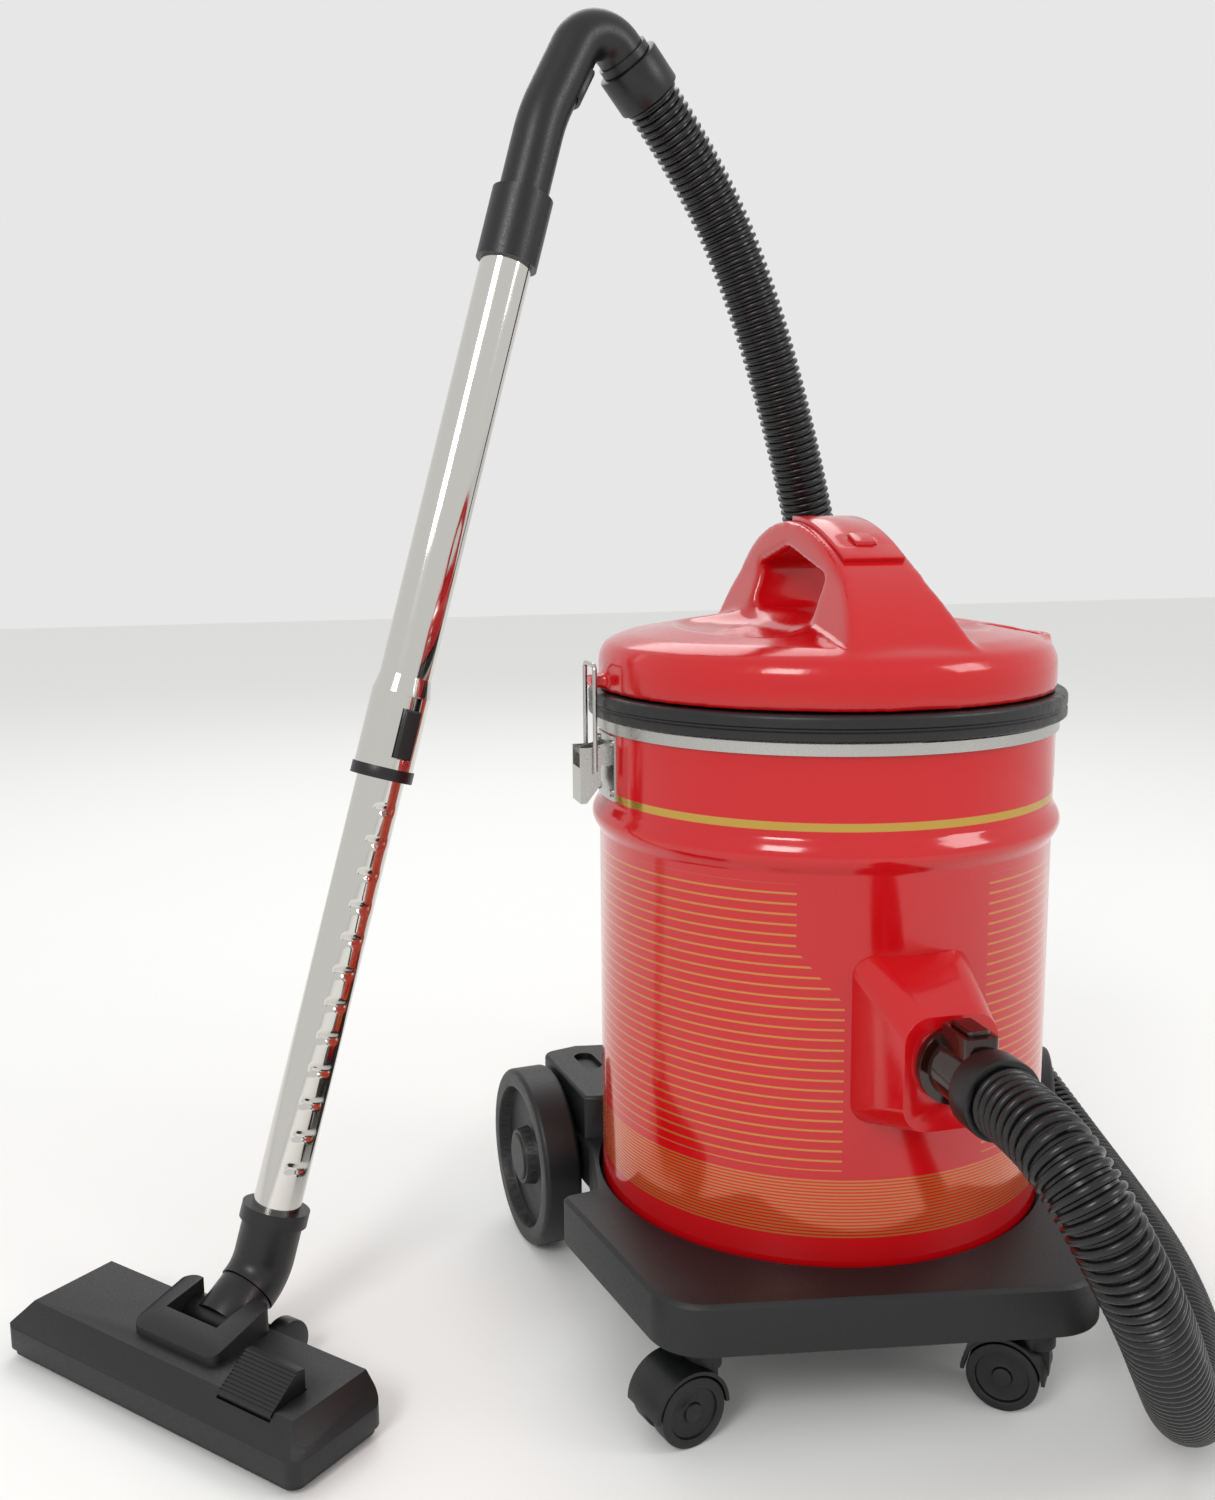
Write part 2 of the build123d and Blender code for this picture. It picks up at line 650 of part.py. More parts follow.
with BuildPart() as handle_pad:
    with BuildSketch(END.offset(-PAD_WIDE / 2)):
        with BuildLine():
            Spline(*[above_arch(share, PAD_PROUD) for share in pad_shares])
            Polyline(*[above_arch(share, height) for share, height in (
                (PAD_TO, PAD_PROUD), (PAD_TO, -PAD_DEEP), (PAD_FROM, -PAD_DEEP), (PAD_FROM, PAD_PROUD))])
        make_face()
    extrude(amount=PAD_WIDE)
    add(handle_arch.part, mode=Mode.SUBTRACT)
    with BuildSketch(button_seat.offset(-10)):
        Rectangle(BUTTON_SIDE + 2 * GAP, BUTTON_SIDE + 2 * GAP)
    extrude(amount=20, mode=Mode.SUBTRACT)
keep(handle_pad, "handle_pad")

with BuildPart() as power_button:
    with BuildSketch(button_seat.offset(BUTTON_TRAVEL + GAP - 10)):
        RectangleRounded(BUTTON_SIDE, BUTTON_SIDE, 2)
    extrude(amount=10 + PAD_PROUD - GAP)
keep(power_button, "power_button")

with BuildPart() as rim_band:
    with BuildSketch(MACHINE.offset(RING_HIGH + GAP)):
        Circle(BAND_R)
        Circle(DRUM_R - 8, mode=Mode.SUBTRACT)
    extrude(amount=BAND_HIGH - RING_HIGH - GAP)
    fillet(rim_band.edges().group_by(Axis.Z)[-1].sort_by(SortBy.LENGTH)[-1], 2)
keep(rim_band, "rim_band")

TRAY_R = DRUM_R - 8 - FIT

with BuildPart() as lower_tray:
    with BuildSketch(MACHINE.offset(TRAY_Z)):
        Circle(TRAY_R)
        Circle(FAN_R - 22, mode=Mode.SUBTRACT)
        with PolarLocations(TRAY_R - 9, 4, start_angle=45):
            Circle(2 + FIT, mode=Mode.SUBTRACT)
        with Locations((PORT_X * 0.9, PORT_Y)):
            Circle(12, mode=Mode.SUBTRACT)
    extrude(amount=TRAY_T)
keep(lower_tray, "lower_tray")

with BuildPart() as tray_screws:
    with BuildSketch(MACHINE.offset(TRAY_Z - 2.5)):
        with PolarLocations(TRAY_R - 9, 4, start_angle=45):
            Circle(4)
    extrude(amount=2.5)
    with BuildSketch(MACHINE.offset(TRAY_Z - 1)):
        with PolarLocations(TRAY_R - 9, 4, start_angle=45):
            Circle(2)
    extrude(amount=TRAY_T + 8)
keep(tray_screws, "tray_screws")

with BuildPart() as motor_housing:
    with BuildSketch(MACHINE.offset(CAGE_LOW)):
        Circle(CAGE_R)
    extrude(amount=TRAY_Z - CAGE_LOW)
    with BuildSketch(MACHINE.offset(CAGE_LOW + 3)):
        Circle(CAGE_R - 3)
    extrude(amount=TRAY_Z - CAGE_LOW, mode=Mode.SUBTRACT)
    with BuildSketch(MACHINE.offset(CAGE_LOW + 12)):
        with PolarLocations(CAGE_R, 12):
            Rectangle(20, 22)
    extrude(amount=56, mode=Mode.SUBTRACT)
keep(motor_housing, "motor_housing")

# ------------------------------------------------------------------ motor and fan
FAN_LOW = 382.0
FAN_HIGH = 402.0
SHAFT_LOW = 376.0


def ring_disc(z, outer, inner, height):
    """A flat ring about the drum's axis."""
    with BuildPart() as ring:
        with BuildSketch(MACHINE.offset(z)):
            Circle(outer)
            Circle(inner, mode=Mode.SUBTRACT)
        extrude(amount=height)
    return ring


keep(ring_disc(TRAY_Z + TRAY_T, CAGE_R, FAN_R, MOTOR_LOW - TRAY_Z - TRAY_T), "motor_gasket")
keep(ring_disc(MOTOR_LOW, CAGE_R, FAN_R + 4, 24), "exhaust_foam")

with BuildPart() as fan_cover:
    with BuildSketch(MACHINE.offset(FAN_LOW - 6)):
        Circle(FAN_R + 6)
        Circle(FAN_R + 3, mode=Mode.SUBTRACT)
    extrude(amount=TRAY_Z - FAN_LOW + 6)
    with BuildSketch(MACHINE.offset(FAN_LOW - 6)):
        Circle(FAN_R + 6)
        Circle(20, mode=Mode.SUBTRACT)
    extrude(amount=3)
    with BuildSketch(MACHINE.offset(TRAY_Z - 3)):
        Circle(FAN_R + 6)
        Circle(BEARING_R + FIT, mode=Mode.SUBTRACT)
        with PolarLocations(40, 8):
            Circle(7, mode=Mode.SUBTRACT)
    extrude(amount=3)
keep(fan_cover, "fan_cover")

with BuildPart() as motor_can:
    with BuildSketch(MACHINE.offset(MOTOR_LOW)):
        Circle(FAN_R)
        Circle(MOTOR_R - 4, mode=Mode.SUBTRACT)
    extrude(amount=3)
    with BuildSketch(MACHINE.offset(MOTOR_LOW)):
        Circle(MOTOR_R)
    extrude(amount=MOTOR_HIGH - MOTOR_LOW)
    with BuildSketch(MACHINE.offset(MOTOR_LOW)):
        Circle(MOTOR_R - 2)
    extrude(amount=MOTOR_HIGH - MOTOR_LOW - 3, mode=Mode.SUBTRACT)
    with BuildSketch(MACHINE.offset(MOTOR_HIGH - 3)):
        Circle(BEARING_R + FIT)
        with PolarLocations(30, 6):
            Circle(7)
    extrude(amount=3, mode=Mode.SUBTRACT)
keep(motor_can, "motor_can")

with BuildPart() as motor_bearings:
    for z in (TRAY_Z - 3, MOTOR_HIGH - 3):
        with BuildSketch(MACHINE.offset(z)):
            Circle(BEARING_R)
            Circle(SHAFT_R + RUN, mode=Mode.SUBTRACT)
        extrude(amount=5)
keep(motor_bearings, "motor_bearings")

with BuildPart() as motor_shaft:
    with BuildSketch(MACHINE.offset(SHAFT_LOW + 8)):
        Circle(SHAFT_R)
    extrude(amount=MOTOR_HIGH + 1 - SHAFT_LOW - 8)
    with BuildSketch(MACHINE.offset(MOTOR_LOW + 4)):
        Circle(26)
    extrude(amount=22)
keep(motor_shaft, "motor_shaft")

with BuildPart() as impeller:
    for z in (FAN_LOW, FAN_HIGH - 2):
        with BuildSketch(MACHINE.offset(z)):
            Circle(FAN_R)
            Circle(SHAFT_R + FIT, mode=Mode.SUBTRACT)
        extrude(amount=2)
    with BuildSketch(MACHINE.offset(FAN_LOW)):
        Circle(9)
        Circle(SHAFT_R + FIT, mode=Mode.SUBTRACT)
    extrude(amount=FAN_HIGH - FAN_LOW)
    with BuildSketch(MACHINE.offset(FAN_LOW + 1)):
        with PolarLocations(36, 8):
            with Locations(Location((0, 0, 0), (0, 0, 35))):
                Rectangle(44, 2)
    extrude(amount=FAN_HIGH - FAN_LOW - 2)
keep(impeller, "impeller")

with BuildPart() as cord_gland:
    with BuildSketch(SIDE.offset(-DRUM_R + 6)):
        with Locations((0, 446)):
            Circle(7)
            Circle(4, mode=Mode.SUBTRACT)
    extrude(amount=-14)
    with BuildSketch(SIDE.offset(-DRUM_R - FIT)):
        with Locations((0, 446)):
            Circle(10)
            Circle(4, mode=Mode.SUBTRACT)
    extrude(amount=-2.5)
keep(cord_gland, "cord_gland")

# ------------------------------------------------------------------ filter
FILTER_R = DRUM_R - DRUM_WALL - FIT
FILTER_TOP = 408.0
BAG_LOW = 170.0


def bag_side(inset):
    """Half section of the filter bag, from the centre of its bottom."""
    return [
        (0, BAG_LOW + inset),
        (84 - inset, BAG_LOW + inset),
        (96 - inset, BAG_LOW + inset + 12),
        (104 - inset, 300),
        (126 - inset, FILTER_TOP - 4),
    ]


keep(ring_disc(FILTER_TOP - 4, FILTER_R, 122, 6), "filter_ring")

with BuildPart() as filter_bag:
    with BuildSketch(SIDE):
        with BuildLine():
            Polyline(*bag_side(0), *reversed(bag_side(2.5)), close=True)
        make_face()
    revolve(axis=DRUM_AXIS)
keep(filter_bag, "filter_bag")

# ------------------------------------------------------------------ latches
LEVER_LOW = 364.0
LEVER_HIGH = 400.0
LEVER_PAST_PIVOT = 5.0
LEVER_OUT = LATCH_X + LEVER_PAST_PIVOT
LEVER_STANDS_OFF = 6.5
LEVER_IN = DRUM_R + LEVER_STANDS_OFF
BRACKET_LOW = 366.0
BRACKET_HIGH = 408.0
EAR_OUT = LEVER_HALF - LEVER_WALL - GAP
EAR_T = 1.5
PIN_R = 2.0
RIVET_R = 2.5
RIVET_PLACES = [(-15, 371), (15, 371), (-15, 403), (15, 403)]

with BuildPart() as latch_rivets:
    for side, name in SIDES:
        for y, z in RIVET_PLACES:
            with BuildSketch(END.offset(side * (math.sqrt((DRUM_R + 1.5) ** 2 - y ** 2) - 0.5))):
                with Locations((y, z)):
                    Circle(RIVET_R)
            extrude(amount=side * 2)
keep(latch_rivets, "latch_rivets")

for side, name in SIDES:
    with BuildPart() as latch_bracket:
        with BuildSketch(MACHINE.offset(BRACKET_LOW)):
            Circle(DRUM_R + 1.5)
            Circle(DRUM_R + FIT, mode=Mode.SUBTRACT)
            with Locations((side * DRUM_R, 0)):
                Rectangle(30, 40, mode=Mode.INTERSECT)
        extrude(amount=BRACKET_HIGH - BRACKET_LOW)
        for flank in (-1, 1):
            with BuildSketch(SIDE.offset(flank * (EAR_OUT - EAR_T))):
                with BuildLine():
                    Polyline(
                        (side * (DRUM_R + 0.7), LATCH_Z - 8),
                        (side * LATCH_X, LATCH_Z - 3.5),
                        (side * (LATCH_X + 3), LATCH_Z),
                        (side * LATCH_X, LATCH_Z + 3.5),
                        (side * (DRUM_R + 0.7), LATCH_Z + 8),
                        close=True,
                    )
                make_face()
            extrude(amount=flank * EAR_T)
        with BuildSketch(SIDE):
            with Locations((side * LATCH_X, LATCH_Z)):
                Circle(PIN_R)
        extrude(amount=LEVER_HALF, both=True)
        for y, z in RIVET_PLACES:
            with BuildSketch(END.offset(side * (DRUM_R - 10))):
                with Locations((y, z)):
                    Circle(RIVET_R + FIT)
            extrude(amount=side * 20, mode=Mode.SUBTRACT)
    keep(latch_bracket, f"latch_bracket_{name}")

    with BuildPart() as latch_lever:
        for flank in (-1, 1):
            with BuildSketch(SIDE.offset(flank * (LEVER_HALF - LEVER_WALL))):
                with BuildLine():
                    Polyline(
                        (side * LEVER_IN, LEVER_LOW + 12),
                        (side * (LEVER_OUT - 4), LEVER_LOW),
                        (side * LEVER_OUT, LEVER_LOW),
                        (side * LEVER_OUT, LEVER_HIGH),
                        (side * LEVER_IN, LEVER_HIGH),
                        close=True,
                    )
                make_face()
                with Locations((side * LATCH_X, LATCH_Z)):
                    Circle(PIN_R + RUN, mode=Mode.SUBTRACT)
                with Locations((side * BAIL_X, BAIL_Z)):
                    Circle(WIRE_R + RUN, mode=Mode.SUBTRACT)
            extrude(amount=flank * LEVER_WALL)
        with BuildSketch(END.offset(side * (LEVER_OUT - 2))):
            with Locations((0, (LEVER_LOW + LATCH_Z - 8) / 2)):
                Rectangle(2 * LEVER_HALF, LATCH_Z - 8 - LEVER_LOW)
        extrude(amount=side * 2)
    keep(latch_lever, f"latch_lever_{name}")

    leg = LEVER_HALF + GAP + WIRE_R
    with BuildPart() as latch_bail:
        with BuildLine():
            FilletPolyline(
                at(side * BAIL_X, -leg, BAIL_Z),
                at(side * BAIL_X, -leg, BAIL_TOP),
                at(side * BAIL_X, leg, BAIL_TOP),
                at(side * BAIL_X, leg, BAIL_Z),
                radius=4,
            )
        with BuildSketch(MACHINE.offset(BAIL_Z)):
            with Locations((side * BAIL_X, -leg)):
                Circle(WIRE_R)
        sweep()
        for flank in (-1, 1):
            with BuildSketch(SIDE.offset(flank * (LEVER_HALF - LEVER_WALL))):
                with Locations((side * BAIL_X, BAIL_Z)):
                    Circle(WIRE_R)
            extrude(amount=flank * (leg + WIRE_R - LEVER_HALF + LEVER_WALL))
    keep(latch_bail, f"latch_bail_{name}")

# ------------------------------------------------------------------ wand

SOCKET_DEPTH = 26.0
LOWER_TOP = COLLAR_AT + OVERLAP
DETENTS = 12
DETENT_PITCH = 22.0
SLOT_AT = COLLAR_AT + 15
SLOT_LONG = 42.0
TAB_LONG = SLOT_LONG - LOCK_TRAVEL - 2 * GAP
TAB_WIDE = 12.0
FLARE_TOP = COLLAR_AT + 62
TAB_FACE = Plane(origin=TUBE_FOOT, x_dir=TUBE_DIR, z_dir=WAND.z_dir)

with BuildPart() as lower_tube:
    with BuildSketch(TUBE.offset(-SOCKET_DEPTH)):
        Circle(LOWER_TUBE_R)
        Circle(LOWER_TUBE_R - SHEET, mode=Mode.SUBTRACT)
    extrude(amount=LOWER_TOP + SOCKET_DEPTH)
    with BuildSketch(TAB_FACE):
        with Locations((DETENT_PITCH * (DETENTS + 1) / 2 + 8, 0)):
            with GridLocations(DETENT_PITCH, 1, DETENTS, 1):
                RectangleRounded(5, 14, 2)
    extrude(amount=LOWER_TUBE_R + 2, mode=Mode.SUBTRACT)
keep(lower_tube, "lower_tube")

with BuildPart() as tube_collar:
    with BuildSketch(TUBE.offset(COLLAR_AT)):
        Circle(COLLAR_R)
    extrude(amount=8)
    with BuildSketch(TUBE.offset(COLLAR_AT)):
        Circle(FLARE_R - SHEET - FIT)
    extrude(amount=FLARE_TOP - COLLAR_AT - 4)
    with BuildSketch(TUBE.offset(COLLAR_AT)):
        Circle(LOWER_TUBE_R + RUN)
    extrude(amount=FLARE_TOP, mode=Mode.SUBTRACT)
    with BuildSketch(TAB_FACE):
        with Locations((SLOT_AT + SLOT_LONG / 2, 0)):
            Rectangle(SLOT_LONG, TAB_WIDE + 2 * GAP)
    extrude(amount=COLLAR_R + 5, mode=Mode.SUBTRACT)
keep(tube_collar, "tube_collar")

with BuildPart() as upper_tube:
    with BuildSketch(WAND):
        with BuildLine():
            outside = [
                (FLARE_R, COLLAR_AT + 8),
                (FLARE_R, FLARE_TOP - 4),
                (UPPER_TUBE_R, FLARE_TOP + 8),
                (UPPER_TUBE_R, WAND_LENGTH),
            ]
            Polyline(
                *[WAND.to_local_coords(TUBE.from_local_coords((0, r, t))) for r, t in outside],
                *[WAND.to_local_coords(TUBE.from_local_coords((0, r - SHEET, t)))
                  for r, t in reversed(outside)],
                close=True,
            )
        make_face()
    revolve(axis=Axis(TUBE_FOOT, TUBE_DIR))
    with BuildSketch(TAB_FACE):
        with Locations((SLOT_AT + SLOT_LONG / 2, 0)):
            Rectangle(SLOT_LONG, TAB_WIDE + 2 * GAP)
    extrude(amount=COLLAR_R + 5, mode=Mode.SUBTRACT)
keep(upper_tube, "upper_tube")

with BuildPart() as lock_tab:
    with BuildSketch(TAB_FACE.offset(LOWER_TUBE_R + GAP)):
        with Locations((SLOT_AT + GAP + TAB_LONG / 2, 0)):
            Rectangle(TAB_LONG, TAB_WIDE)
    extrude(amount=FLARE_R + 4 - LOWER_TUBE_R - GAP)
    fillet(lock_tab.faces().sort_by(Axis(TUBE_FOOT, WAND.z_dir))[-1].edges(), 1.5)
keep(lock_tab, "lock_tab")

# The handle pipe's route in the wand's own plane: level distance and height.
TUBE_TOP = WAND.to_local_coords(TUBE.from_local_coords((0, 0, WAND_LENGTH)))
BEND_1 = WAND.to_local_coords(TUBE.from_local_coords((0, 0, WAND_LENGTH + 62)))
BEND_2 = Vector(268, 887, 0)
PIPE_END = Vector(296.7, 859, 0)
END_DIR = (PIPE_END - BEND_2).normalized()
CUFF_DIR = WAND.from_local_coords(PIPE_END + END_DIR) - WAND.from_local_coords(PIPE_END)
CUFF = Plane(origin=WAND.from_local_coords(PIPE_END), x_dir=WAND.z_dir, z_dir=CUFF_DIR)
SPIGOT_R = 13.0
SLEEVE_LONG = 42.0
GRIP_DIR = (BEND_2 - BEND_1).normalized()
GRIP_AXIS = WAND.from_local_coords(BEND_1 + GRIP_DIR) - WAND.from_local_coords(BEND_1)
SLIDER_AT = 20.0
SLIDER_LONG = 24.0
GRIP = Plane(origin=WAND.from_local_coords(BEND_1), x_dir=WAND.z_dir, z_dir=GRIP_AXIS)

with BuildPart() as handle_pipe:
    with BuildLine():
        FilletPolyline(
            *[WAND.from_local_coords(p) for p in (TUBE_TOP, BEND_1, BEND_2, PIPE_END)],
            radius=[120, 24],
        )
    with BuildSketch(TUBE.offset(WAND_LENGTH)):
        Circle(HANDLE_PIPE_R)
        Circle(HANDLE_PIPE_BORE, mode=Mode.SUBTRACT)
    sweep()
    with BuildSketch(TUBE.offset(WAND_LENGTH - SLEEVE_LONG)):
        Circle(UPPER_TUBE_R + 3.5)
        Circle(UPPER_TUBE_R + FIT, mode=Mode.SUBTRACT)
    extrude(amount=SLEEVE_LONG)
    with BuildSketch(TUBE.offset(WAND_LENGTH)):
        Circle(UPPER_TUBE_R + 3.5)
        Circle(HANDLE_PIPE_R - 1, mode=Mode.SUBTRACT)
    extrude(amount=6)
    with BuildSketch(CUFF.offset(-6)):
        Circle(HANDLE_PIPE_R + 2)
        Circle(HANDLE_PIPE_R - 1, mode=Mode.SUBTRACT)
    extrude(amount=6)
    with BuildSketch(CUFF.offset(-4)):
        Circle(SPIGOT_R + 1.2)
        Circle(SPIGOT_R - 2, mode=Mode.SUBTRACT)
    extrude(amount=4)
    with BuildSketch(CUFF):
        Circle(SPIGOT_R)
        Circle(SPIGOT_R - 2, mode=Mode.SUBTRACT)
    extrude(amount=CUFF_LENGTH - 8)
keep(handle_pipe, "handle_pipe")

with BuildPart() as suction_slider:
    with BuildSketch(GRIP.offset(SLIDER_AT)):
        Circle(HANDLE_PIPE_R + 2.6)
        Circle(HANDLE_PIPE_R + RUN, mode=Mode.SUBTRACT)
        with Locations((0, HANDLE_PIPE_R)):
            Rectangle(26, 30, mode=Mode.INTERSECT)
    extrude(amount=SLIDER_LONG)
keep(suction_slider, "suction_slider")

with BuildPart() as hose_cuff_handle:
    with BuildSketch(CUFF.offset(GAP)):
        Circle(CUFF_R)
        Circle(SPIGOT_R + RUN, mode=Mode.SUBTRACT)
    extrude(amount=CUFF_LENGTH)
keep(hose_cuff_handle, "hose_cuff_handle")

# ------------------------------------------------------------------ floor head
SEAM = 14.0           # from the elbow back to where the neck swivels
NECK_BORE = 14.0

with BuildPart() as neck_socket:
    with BuildLine():
        FilletPolyline(ELBOW - NECK_DIR * SEAM, ELBOW, TUBE_FOOT, radius=30)
    with BuildSketch(Plane(origin=ELBOW - NECK_DIR * SEAM, x_dir=NOZZLE.x_dir, z_dir=NECK_DIR)):
        Circle(NECK_R + 1)
        Circle(NECK_BORE, mode=Mode.SUBTRACT)
    sweep()
    with BuildSketch(TUBE.offset(-10)):
        Circle(NECK_R + 3.5)
        Circle(LOWER_TUBE_R - 1, mode=Mode.SUBTRACT)
    extrude(amount=10)
    with BuildSketch(TUBE.offset(-SOCKET_DEPTH)):
        Circle(LOWER_TUBE_R + FIT)
    extrude(amount=SOCKET_DEPTH + 1, mode=Mode.SUBTRACT)
keep(neck_socket, "neck_socket")

BARREL_R = 13.0
BARREL_HALF = 23.0
PIVOT_PIN_R = 4.0
ARM_X = 30.0
ARM_BACK = 56.0
NECK_WHEEL_W = 12.0
NECK_AXLE_R = 2.5

with BuildPart() as neck_yoke:
    with BuildSketch(NECK):
        Circle(NECK_R)
    extrude(amount=NECK_LONG - SEAM - GAP)
    with BuildSketch(NOZZLE_END):
        with Locations((PIVOT_BACK, PIVOT_Z)):
            Circle(BARREL_R)
    extrude(amount=BARREL_HALF, both=True)
    with BuildSketch(NOZZLE_END):
        with Locations((PIVOT_BACK, PIVOT_Z)):
            Circle(PIVOT_PIN_R)
    extrude(amount=BARREL_HALF + 9, both=True)
    with BuildSketch(NOZZLE_END):
        with BuildLine():
            Polyline(
                (PIVOT_BACK + 6, PIVOT_Z + 8),
                (PIVOT_BACK + 2, PIVOT_Z - 10),
                (ARM_BACK - 4, NECK_WHEEL_R - 5),
                (ARM_BACK + 5, NECK_WHEEL_R - 3),
                (ARM_BACK + 5, NECK_WHEEL_R + 5),
                close=True,
            )
        make_face()
    extrude(amount=BARREL_HALF, both=True)
    with BuildSketch(NECK.offset(4)):
        Circle(NECK_BORE)
    extrude(amount=NECK_LONG, mode=Mode.SUBTRACT)
    with BuildSketch(NOZZLE_END):
        with Locations((ARM_BACK, NECK_WHEEL_R)):
            Circle(NECK_AXLE_R + RUN)
    extrude(amount=BARREL_HALF + 1, both=True, mode=Mode.SUBTRACT)
keep(neck_yoke, "neck_yoke")

with BuildPart() as neck_wheels:
    with BuildSketch(NOZZLE_END):
        with Locations((ARM_BACK, NECK_WHEEL_R)):
            Circle(NECK_AXLE_R)
    extrude(amount=BARREL_HALF + NECK_WHEEL_W, both=True)
    for flank in (-1, 1):
        with BuildSketch(NOZZLE_END.offset(flank * (BARREL_HALF + GAP))):
            with Locations((ARM_BACK, NECK_WHEEL_R)):
                Circle(NECK_WHEEL_R)
        extrude(amount=flank * NECK_WHEEL_W)
keep(neck_wheels, "neck_wheels")

SOLE_Z = 4.0
COVER_Z = 8.0
COVER_WALL = 3.0
PEDAL_X = 82.0
PEDAL_Y = -12.0
PEDAL_LONG = 44.0
PEDAL_DEEP = 30.0
PEDAL_Z = 30.0
PEDAL_PIN_R = 2.0
PEDAL_PIN_UP = 4.0      # from the pedal's underside to its pin
PEDAL_PIN_SEAT = 1.0    # how far the pin runs into the cover on each side
CHEEK_IN = BARREL_HALF + GAP

with BuildPart() as nozzle_cover:
    with BuildSketch(NOZZLE.offset(COVER_Z)):
        RectangleRounded(NOZZLE_LONG, NOZZLE_DEEP, 8)
    extrude(amount=NOZZLE_HIGH - COVER_Z)
    with BuildSketch(NOZZLE_END):
        with BuildLine():
            Polyline(
                (-NOZZLE_DEEP / 2 - 1, 22),
                (-NOZZLE_DEEP / 2 + 14, NOZZLE_HIGH),
                (-NOZZLE_DEEP / 2 - 1, NOZZLE_HIGH + 1),
                close=True,
            )
        make_face()
    extrude(amount=NOZZLE_LONG, both=True, mode=Mode.SUBTRACT)
    for flank in (-1, 1):
        with BuildSketch(Plane(origin=NOZZLE.origin, x_dir=NOZZLE.x_dir, z_dir=-NOZZLE.y_dir)):
            with BuildLine():
                Polyline(
                    (flank * (NOZZLE_LONG / 2 + 1), 20),
                    (flank * (NOZZLE_LONG / 2 - 14), NOZZLE_HIGH + 0.5),
                    (flank * (NOZZLE_LONG / 2 + 1), NOZZLE_HIGH + 0.5),
                    close=True,
                )
            make_face()
        extrude(amount=NOZZLE_DEEP, both=True, mode=Mode.SUBTRACT)
    with BuildSketch(NOZZLE.offset(COVER_Z + 6)):
        with Locations((3, 12)):
            RectangleRounded(76, 50, 8)
    extrude(amount=55 - COVER_Z - 6)
    with BuildSketch(NOZZLE.offset(COVER_Z)):
        Rectangle(NOZZLE_LONG - 2 * COVER_WALL - 24, NOZZLE_DEEP - 2 * COVER_WALL - 18)
    extrude(amount=20 - COVER_Z, mode=Mode.SUBTRACT)
    with BuildSketch(NOZZLE.offset(COVER_Z)):
        with Locations((0, NOZZLE_DEEP / 2)):
            Rectangle(2 * CHEEK_IN, 2 * (NOZZLE_DEEP / 2 - 6))
    extrude(amount=60, mode=Mode.SUBTRACT)
    with BuildSketch(NOZZLE_END):
        with Locations((PIVOT_BACK, PIVOT_Z)):
            Circle(PIVOT_PIN_R + RUN)
    extrude(amount=BARREL_HALF + 10, both=True, mode=Mode.SUBTRACT)
    with BuildSketch(NOZZLE.offset(PEDAL_Z - 4)):
        with Locations((PEDAL_X, PEDAL_Y)):
            Rectangle(PEDAL_LONG + 2 * GAP, PEDAL_DEEP + 2 * GAP)
    extrude(amount=40, mode=Mode.SUBTRACT)
    with BuildSketch(NOZZLE_END.offset(PEDAL_X - PEDAL_LONG / 2 - GAP - PEDAL_PIN_SEAT)):
        with Locations((PEDAL_Y, PEDAL_Z + PEDAL_PIN_UP)):
            Circle(PEDAL_PIN_R)
    extrude(amount=PEDAL_LONG + 2 * (GAP + PEDAL_PIN_SEAT))
    with BuildSketch(NOZZLE):
        for back in (-24, 24):
            with Locations((0, back)):
                Rectangle(NOZZLE_LONG - 60, 5)
    extrude(amount=20, mode=Mode.SUBTRACT)
keep(nozzle_cover, "nozzle_cover")

with BuildPart() as nozzle_sole:
    with BuildSketch(NOZZLE.offset(SOLE_Z)):
        RectangleRounded(NOZZLE_LONG - 4, NOZZLE_DEEP - 4, 8)
        Rectangle(NOZZLE_LONG - 70, 16, mode=Mode.SUBTRACT)
        with Locations((0, NOZZLE_DEEP / 2)):
            Rectangle(2 * CHEEK_IN, 2 * (NOZZLE_DEEP / 2 - 6), mode=Mode.SUBTRACT)
        for back in (-24, 24):
            with Locations((0, back)):
                Rectangle(NOZZLE_LONG - 60, 5, mode=Mode.SUBTRACT)
    extrude(amount=COVER_Z - SOLE_Z)
    with BuildSketch(NOZZLE):
        with GridLocations(NOZZLE_LONG - 40, NOZZLE_DEEP - 24, 2, 2):
            RectangleRounded(20, 8, 3)
    extrude(amount=SOLE_Z)
keep(nozzle_sole, "nozzle_sole")

BRUSH_LOW = 0.6

with BuildPart() as nozzle_brushes:
    with BuildSketch(NOZZLE.offset(BRUSH_LOW)):
        with Locations((0, -24)):
            Rectangle(NOZZLE_LONG - 64, 3.6)
        for flank in (-1, 1):
            with Locations((flank * 64, 24)):
                Rectangle(74, 3.6)
    extrude(amount=SOLE_Z + 10)
keep(nozzle_brushes, "nozzle_brushes")

with BuildPart() as nozzle_pedal:
    with BuildSketch(NOZZLE_END.offset(PEDAL_X - PEDAL_LONG / 2)):
        with BuildLine():
            Polyline(
                (PEDAL_Y - PEDAL_DEEP / 2 + 1, PEDAL_Z - 2),
                (PEDAL_Y + PEDAL_DEEP / 2 - 1, PEDAL_Z + 2),
                (PEDAL_Y + PEDAL_DEEP / 2 - 1, PEDAL_Z + 22),
                (PEDAL_Y + PEDAL_DEEP / 2 - 6, PEDAL_Z + 23),
                (PEDAL_Y - PEDAL_DEEP / 2 + 1, PEDAL_Z + 7),
                close=True,
            )
        make_face()
        with Locations((PEDAL_Y, PEDAL_Z + PEDAL_PIN_UP)):
            Circle(PEDAL_PIN_R + RUN, mode=Mode.SUBTRACT)
    extrude(amount=PEDAL_LONG)
keep(nozzle_pedal, "nozzle_pedal")

